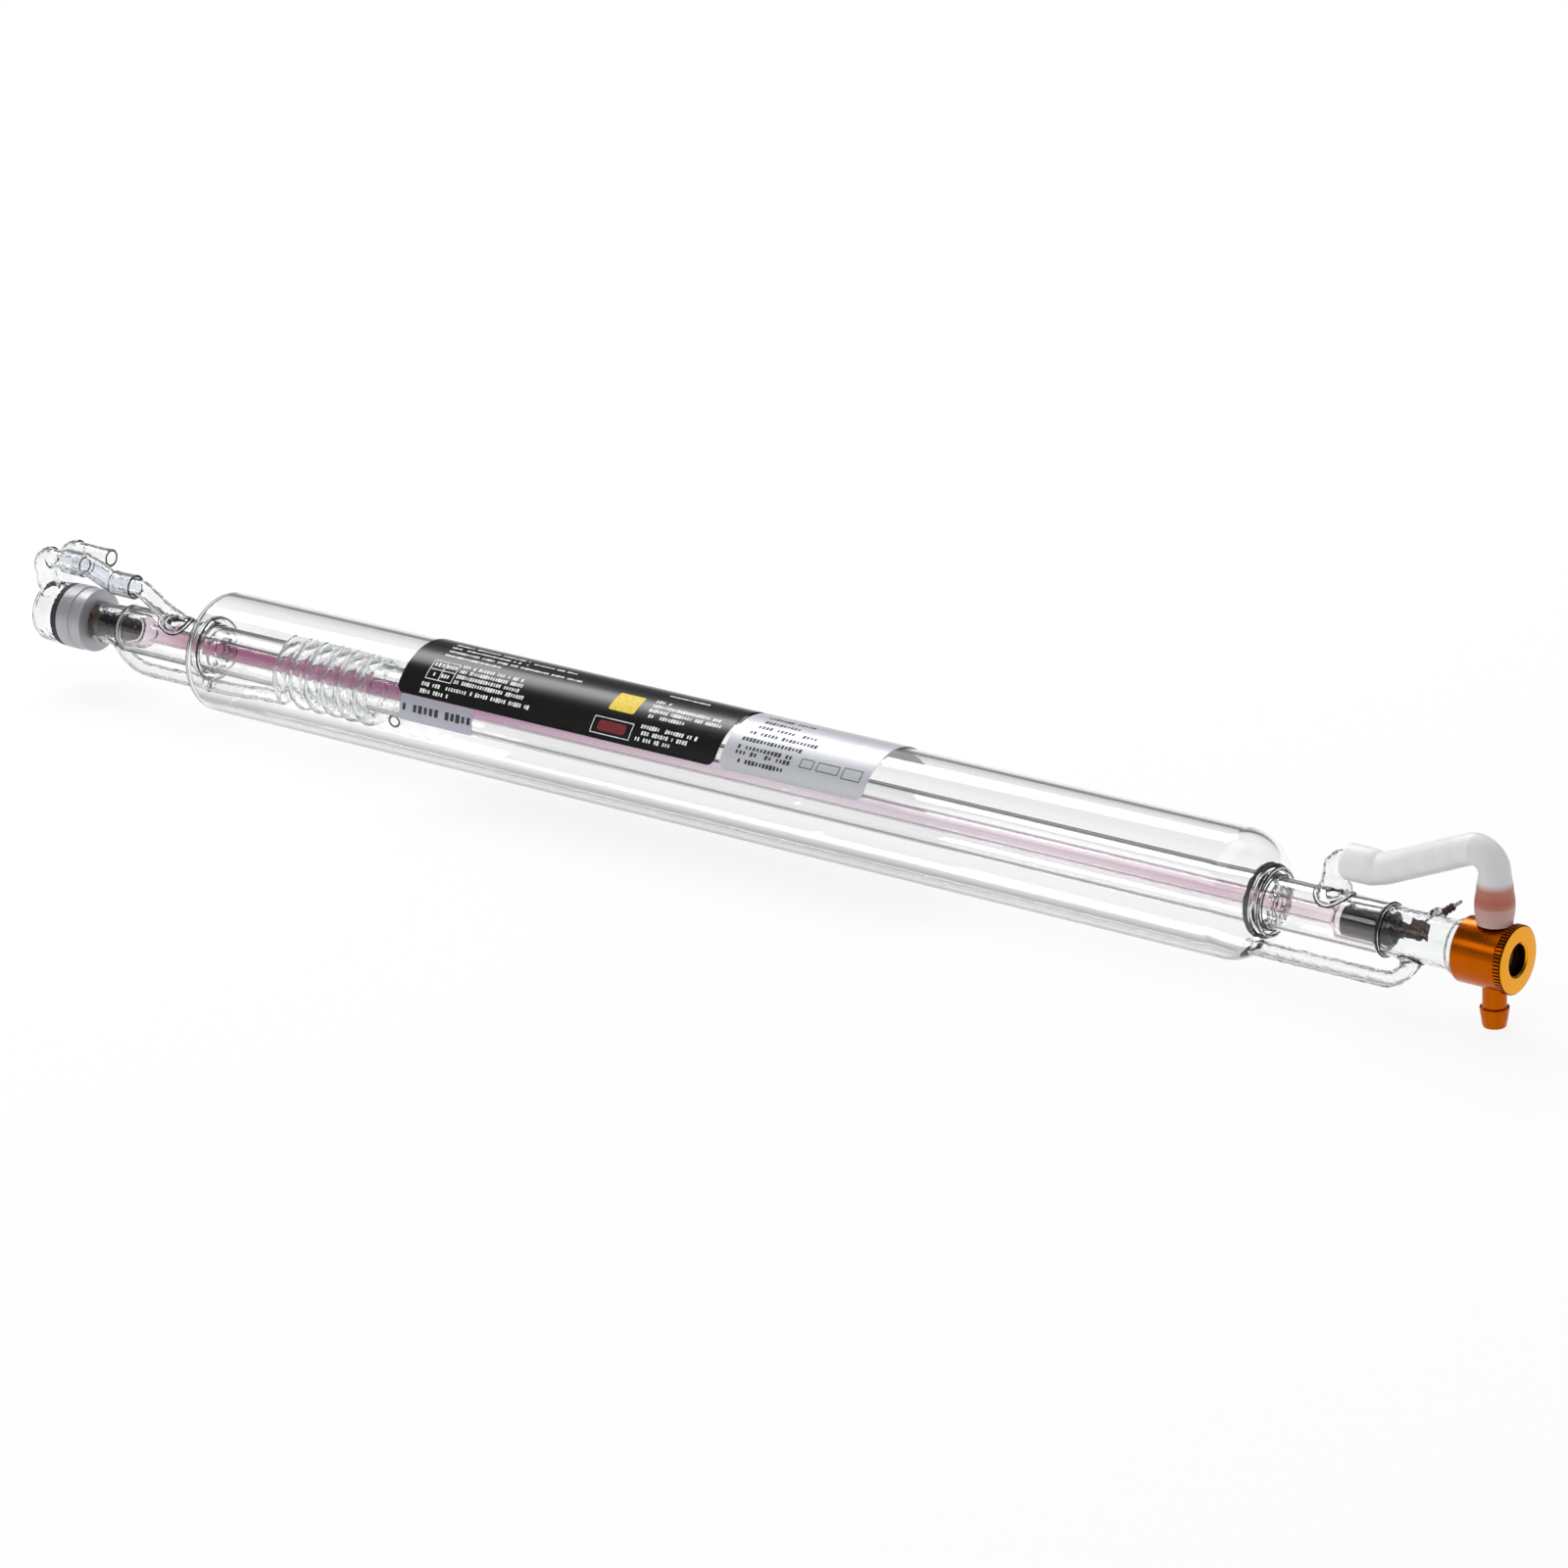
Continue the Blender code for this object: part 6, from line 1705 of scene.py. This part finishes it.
def build_rear_holder(aluminium, rubber):
    """Turned mirror holder with two bands, and the gasket behind it."""
    front_r = HOLDER_R - HOLDER_STEP
    seat = MIRROR_R + GAP
    floor = HOLDER_BACK + REAR_MIRROR_THICKNESS + GAP
    outline = [(HOLDER_BACK, seat), (HOLDER_BACK, HOLDER_R - EDGE)]
    outline += arc((HOLDER_BACK + EDGE, HOLDER_R - EDGE), EDGE, pi, pi / 2, 5)
    outline += [(HOLDER_BAND - GAP, HOLDER_R), (HOLDER_BAND, front_r - GAP), (HOLDER_BAND + GAP, front_r)]
    outline += arc((HOLDER_FRONT - EDGE, front_r - EDGE), EDGE, pi / 2, 0, 5)
    outline += [(HOLDER_FRONT, HOLDER_BORE_R), (floor, HOLDER_BORE_R), (floor, seat)]
    holder = lathe("rear_mirror_holder_turned", outline, LARGE)
    dress(holder, aluminium, "brushed_aluminium", "rear_mirror_holder")
    end = GASKET_BACK + GASKET_THICKNESS
    ring = [(GASKET_BACK, GASKET_BORE_R), (GASKET_BACK, GASKET_R - GAP), (GASKET_BACK + GAP, GASKET_R)]
    ring += [(end - GAP, GASKET_R), (end, GASKET_R - GAP), (end, GASKET_BORE_R)]
    dress(lathe("rear_gasket_moulded", ring, LARGE), rubber, "black_rubber", "rear_gasket")


# Labels


def add_film(bm, span, reach, corner, low, high):
    """A sheet wrapped on the jacket between two places along it and two distances from its top line."""
    start, end = span
    height = reach[1] - reach[0]
    steps = 8
    rim = [corner * (1 - cos(pi / 2 * k / steps)) for k in range(steps + 1)]
    middle_steps = max(2, round(height / FILM_STEP))
    middle = [corner + (height - 2 * corner) * k / middle_steps for k in range(1, middle_steps)]
    loops = []
    for d in rim + middle + [height - d for d in reversed(rim)]:
        near = min(d, height - d, corner)
        inset = corner - sqrt(max(0, corner**2 - (corner - near) ** 2))
        angle = pi / 2 + (reach[0] + d) / LABEL_R
        left, right = start + inset, end - inset
        places = ((left, low), (right, low), (left, high), (right, high))
        loops.append([bm.verts.new(around(x, r, angle)) for x, r in places])
    for (a, b, c, d), (e, f, g, h) in zip(loops, loops[1:]):
        for quad in ((a, b, f, e), (c, d, h, g), (a, e, g, c), (b, f, h, d)):
            bm.faces.new(quad)
    for a, b, c, d in (loops[0], loops[-1]):
        bm.faces.new((a, b, d, c))


def build_label(name, start, length, reach, corner, film, slot):
    """Printed film wrapped on the gas jacket, with rounded corners."""
    bm = bmesh.new()
    add_film(bm, (start, start + length), reach, corner, LABEL_R, LABEL_R + LABEL_THICKNESS)
    dress(mesh_object(bm, f"{name}_film"), film, slot, name)


def build_labels(black, silver, pale_silver):
    """Two wide labels over the top of the jacket and a small one below the black one's near edge."""
    far = LABEL_HALF_ANGLE * LABEL_R
    low = far + GAP
    wide, small = (-far, far), (low, low + SERIAL_HEIGHT)
    build_label("black_label", BLACK_START, BLACK_LENGTH, wide, LABEL_CORNER, black, "black_label_film")
    slot = "silver_label_film"
    build_label("grey_label", GREY_START, GREY_LENGTH, wide, LABEL_CORNER, silver, slot)
    build_label("serial_label", SERIAL_START, SERIAL_LENGTH, small, SERIAL_CORNER, pale_silver, slot)


def build_rows(name, rows, type_size, seed, ink, tree, label, slot):
    """Rows of fine print, each between two places along the label, at its own distance from the top."""
    pitch, height = type_size
    lines = [((x0, -s, 0), (x1, -s, 0)) for x0, x1, s in rows]
    values = {
        "bar_pitch": pitch,
        "bar_height": height,
        "ink": INK,
        "radius": LABEL_R + LABEL_THICKNESS,
        "seed": seed,
        "material": ink,
    }
    dress(grow(tree, line_object(*lines), name, **values), ink, slot, label)


def build_fields(name, fields, ink, label, slot, corner=INK):
    """Plain printed fields, or thin rules where they are narrow, given as (x0, x1, s0, s1)."""
    bm = bmesh.new()
    print_r = LABEL_R + LABEL_THICKNESS
    for x0, x1, s0, s1 in fields:
        add_film(bm, (x0, x1), (s0, s1), corner, print_r - INK / 2, print_r + INK / 2)
    dress(mesh_object(bm, name), ink, slot, label)


def framed(x0, x1, s0, s1, columns=1, rows=1):
    """The thin rules of a box with equal cells."""
    half = RULE / 2
    rules = []
    for k in range(columns + 1):
        x = x0 + (x1 - x0) * k / columns
        rules.append((x - half, x + half, s0 - half, s1 + half))
    for k in range(rows + 1):
        s = s0 + (s1 - s0) * k / rows
        rules.append((x0 - half, x1 + half, s - half, s + half))
    return rules


def build_prints(white, yellow, red, dark):
    """Generic bars, boxes and colour fields where the labels are printed."""
    tree = fine_print_tree()
    slot = "black_label_film"
    build_rows("black_label_fine_rows", BLACK_FINE_ROWS, BLACK_FINE_TYPE, 3, white, tree, "black_label", slot)
    build_rows("black_label_rows", BLACK_ROWS, BLACK_TYPE, 5, white, tree, "black_label", slot)
    boxes = framed(*BLACK_CELLS, 2, 2) + framed(*RED_FRAME)
    build_fields("black_label_boxes", boxes, white, "black_label", slot)
    build_fields("black_label_yellow_field", [YELLOW_FIELD], yellow, "black_label", slot, 0.0010)
    build_fields("black_label_red_field", [RED_FIELD], red, "black_label", slot, 0.0014)
    slot = "silver_label_film"
    build_rows("grey_label_rows", GREY_ROWS, GREY_TYPE, 8, dark, tree, "grey_label", slot)
    boxes = [rule for box in GREY_BOXES for rule in framed(*box)]
    build_fields("grey_label_boxes", boxes, dark, "grey_label", slot)
    build_rows("serial_label_rows", SERIAL_ROWS, SERIAL_TYPE, 2, dark, tree, "serial_label", slot)


# Studio


def build_floor():
    """A white studio table that keeps the tube's soft shadow."""
    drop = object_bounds()[0].z - GAP
    bm = bmesh.new()
    bmesh.ops.create_grid(bm, x_segments=1, y_segments=1, size=30)
    floor = mesh_object(bm, "studio_floor")
    floor.location = (0, 0, drop)
    material, tree, shader = principled("studio_white", "#F4F4F4", roughness=0.9)
    path = add(tree, "ShaderNodeLightPath")
    through = path.outputs["Is Transmission Ray"]
    spot = add(tree, "ShaderNodeTexCoord").outputs["Object"]
    across = add(tree, "ShaderNodeSeparateXYZ", {"Vector": spot}).outputs["Y"]
    side = add(tree, "ShaderNodeMath", {0: across}, operation="ABSOLUTE")
    # A painted shadow under the axis: the floor is darker there for rays through glass, which gives the glass
    # its grey core
    tones = ((0.0, "#7C7C7C"), (0.006, "#989898"), (0.009, "#E2E2E2"), (0.014, "#FFFFFF"))
    shade = add(tree, "ShaderNodeValToRGB", {"Fac": side.outputs[0]}, tones).outputs["Color"]
    tone = add(tree, "ShaderNodeMix", {"Factor": through, 6: linear("#FFFFFF"), 7: shade}, data_type="RGBA")
    glow = add(tree, "ShaderNodeEmission", {"Color": tone.outputs[2], "Strength": 1.0})
    seen = add(tree, "ShaderNodeMath", {0: path.outputs["Is Camera Ray"], 1: through}, operation="MAXIMUM")
    either = {0: seen.outputs[0], 1: path.outputs["Is Glossy Ray"]}
    seen = add(tree, "ShaderNodeMath", either, operation="MAXIMUM")
    glow_share = 0.85
    share = add(tree, "ShaderNodeMath", {0: seen.outputs[0], 1: glow_share}, operation="MULTIPLY")
    mixed = add(tree, "ShaderNodeMixShader", {0: share.outputs[0], 1: shader.outputs[0], 2: glow.outputs[0]})
    tree.links.new(mixed.outputs[0], material_end(tree).inputs["Surface"])
    floor.data.materials.append(material)


def build_world():
    """Plain white surroundings, with grey walls that only glass and metal pick up."""
    world = bpy.data.worlds.new("studio")
    bpy.context.scene.world = world
    world.use_nodes = True
    tree = world.node_tree
    tree.nodes.clear()
    spot = add(tree, "ShaderNodeTexCoord").outputs["Generated"]
    height = add(tree, "ShaderNodeSeparateXYZ", {"Vector": spot}).outputs["Z"]
    to_camera = (sin(CAMERA_AZIMUTH), -cos(CAMERA_AZIMUTH), 0)
    facing = add(tree, "ShaderNodeVectorMath", {0: spot, 1: to_camera}, operation="DOT_PRODUCT")
    span = {"Value": facing.outputs["Value"], "From Min": -0.3, "From Max": 0.3}
    near = add(tree, "ShaderNodeMapRange", span)

    def walls(*both_stops):
        """Grey by height, on the far walls and on the walls behind the camera."""
        far_side, near_side = [
            add(tree, "ShaderNodeValToRGB", {"Fac": height}, stops).outputs["Color"] for stops in both_stops
        ]
        sides = {"Factor": near.outputs[0], 6: far_side, 7: near_side}
        return add(tree, "ShaderNodeMix", sides, data_type="RGBA").outputs[2]

    clear = walls(
        ((0.0, "#FAFAFA"), (0.1, "#E2E2E2"), (0.35, "#CCCCCC"), (0.6, "#FFFFFF")),
        ((0.0, "#7A7A7A"), (0.3, "#5A5A5A"), (0.6, "#B0B0B0"), (0.8, "#FFFFFF")),
    )
    gloss = walls(
        ((0.0, "#9A9A9A"), (0.4, "#5E5E5E"), (0.65, "#A8A8A8"), (0.82, "#4E4E4E")),
        ((0.0, "#A8A8A8"), (0.12, "#D8D8D8"), (0.35, "#707070"), (0.7, "#424242")),
    )
    path = add(tree, "ShaderNodeLightPath")
    through, mirrored = path.outputs["Is Transmission Ray"], path.outputs["Is Glossy Ray"]
    tone = add(tree, "ShaderNodeMix", {"Factor": through, 6: linear("#FFFFFF"), 7: clear}, data_type="RGBA")
    tone = add(tree, "ShaderNodeMix", {"Factor": mirrored, 6: tone.outputs[2], 7: gloss}, data_type="RGBA")
    diffuse_loss = 0.45
    dimmed = {0: path.outputs["Is Diffuse Ray"], 1: -diffuse_loss, 2: 1.0}
    level = add(tree, "ShaderNodeMath", dimmed, operation="MULTIPLY_ADD")
    back = add(tree, "ShaderNodeBackground", {"Color": tone.outputs[2], "Strength": level.outputs[0]})
    add(tree, "ShaderNodeOutputWorld", {"Surface": back.outputs[0]})


def build_lamp(name, place_at, aim, size, watts):
    lamp = bpy.data.lights.new(name, "AREA")
    lamp.shape = "RECTANGLE"
    lamp.size, lamp.size_y = size
    lamp.energy = watts
    holder = bpy.data.objects.new(name, lamp)
    holder.location = place_at
    holder.rotation_mode = "QUATERNION"
    holder.rotation_quaternion = (Vector(aim) - Vector(place_at)).to_track_quat("-Z", "Y")
    bpy.context.scene.collection.objects.link(holder)


def build_camera():
    """The photograph's camera, on the near side and above the output end."""
    a, e, r = CAMERA_AZIMUTH, CAMERA_ELEVATION, CAMERA_ROLL
    back = Vector((sin(a) * cos(e), -cos(a) * cos(e), sin(e)))
    right = (-back).cross(Vector((0, 0, 1))).normalized()
    up = right.cross(-back)
    right, up = cos(r) * right + sin(r) * up, cos(r) * up - sin(r) * right
    spot = back * CAMERA_DISTANCE + right * CAMERA_RIGHT + up * CAMERA_UP + Vector((CAMERA_ALONG, 0, 0))
    lens = bpy.data.cameras.new("photo_camera")
    lens.lens = CAMERA_LENS
    lens.sensor_width = SENSOR_WIDTH
    lens.clip_start, lens.clip_end = 0.05, 100
    camera = bpy.data.objects.new("photo_camera", lens)
    camera.matrix_world = Matrix((
        (right.x, up.x, back.x, spot.x),
        (right.y, up.y, back.y, spot.y),
        (right.z, up.z, back.z, spot.z),
        (0, 0, 0, 1),
    ))
    bpy.context.scene.collection.objects.link(camera)
    bpy.context.scene.camera = camera


def main():
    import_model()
    build_camera()
    build_floor()
    build_world()
    build_lamp("top_softbox", (0.1, 0.0, 1.7), (0, 0, 0), (2.2, 1.0), 6)
    build_lamp("strip_softbox", (-1.1, 0.79, 1.5), (0, 0, 0), (1.7, 0.45), 20)
    build_lamp("near_softbox", (-0.5, -1.5, 1.2), (0, 0, 0), (1.2, 0.6), 4)

    drawn = drawn_borosilicate()
    worked = flame_worked_borosilicate()
    rose = rose_discharge_glass()
    # One anodised finish in two tones: the face is painted a lighter amber and the body a darker one, as
    # painted light and painted shade
    amber = amber_anodised("amber_anodised_body", "#C05E04", "#AC4E02")
    amber_face = amber_anodised("amber_anodised_face", "#ECA010", "#E2940A", "#2C1100")
    rubber = moulded_rubber()
    nickel = oxidised_nickel()
    sleeve_finish = brown_sleeve()
    wire = bright_wire()

    build_outer_jacket(drawn)
    build_water_jacket(drawn)
    build_discharge_tube(rose)
    build_bore_spacers(worked)
    build_front_chamber(worked)
    build_rear_chamber(worked)
    build_bridge(
        "front_gas_bridge",
        FRONT_DOME,
        FRONT_SEAL,
        FRONT_BRIDGE_X,
        FRONT_BRIDGE_OFFSET,
        FRONT_BRIDGE_LEAN,
        FRONT_CHAMBER_R,
        (FRONT_BRIDGE_R, FRONT_BRIDGE_FOOT_R),
        FRONT_BRIDGE_BEND,
        worked,
    )
    build_bridge(
        "rear_gas_bridge",
        REAR_DOME,
        REAR_SEAL,
        REAR_BRIDGE_X,
        REAR_BRIDGE_OFFSET,
        REAR_BRIDGE_LEAN,
        REAR_CHAMBER_R,
        (REAR_BRIDGE_R, REAR_BRIDGE_FOOT_R),
        REAR_BRIDGE_BEND,
        worked,
    )
    build_gas_return_coil(worked, wound_tube_tree())
    build_front_nipple(worked)
    build_rear_nipple(worked)
    build_rear_water_cap(worked)
    build_electrode("cathode", CATHODE_END - CATHODE_LENGTH, CATHODE_END, nickel)
    build_electrode("anode", ANODE_END, ANODE_END + ANODE_LENGTH, nickel)
    build_lead_through("cathode", cathode_arm(), -CATHODE_PIN_INSIDE, sleeve_finish, wire)
    anode_root = anode_arm()[0]
    anode_foot = ELECTRODE_R + GAP - sqrt(anode_root.y**2 + anode_root.z**2)
    build_lead_through("anode", anode_arm(), anode_foot, sleeve_finish, wire)
    build_cathode_lead(scorched_strip())
    build_output_head(amber)
    build_output_bezel(amber_face, amber, knurl_tree())
    bead_tree = weld_bead_tree()
    build_weld_beads(worked, bead_tree)
    build_dark_seams(fused_seam_painted_shade(), bead_tree)
    build_optics(coated_zinc_selenide(), rubber, gold_coating())
    build_water_barbs(amber)
    build_front_hose(milky_silicone())
    build_rear_hose(clear_hose())
    build_rear_holder(satin_aluminium(), rubber)
    silver = silver_film("silver_film", "#D2D4D9", "#C4C6CC")
    build_labels(black_film(), silver, silver_film("pale_silver_film", "#BCBDC9", "#AEAFBB"))
    build_prints(
        printing_ink("white_ink", "#F2F2F2", "#C8C8C8"),
        printing_ink("yellow_ink", "#E6C80A", "#D4B408"),
        printing_ink("red_ink", "#7A1620", "#66121A"),
        printing_ink("dark_ink", "#26262A", "#3A3A40"),
    )

    scene = bpy.context.scene
    scene.view_settings.view_transform = "Standard"
    # Light passes many walls of glass before it gets out again
    scene.cycles.max_bounces = BOUNCES
    scene.cycles.transmission_bounces = BOUNCES
    scene.cycles.transparent_max_bounces = BOUNCES


main()
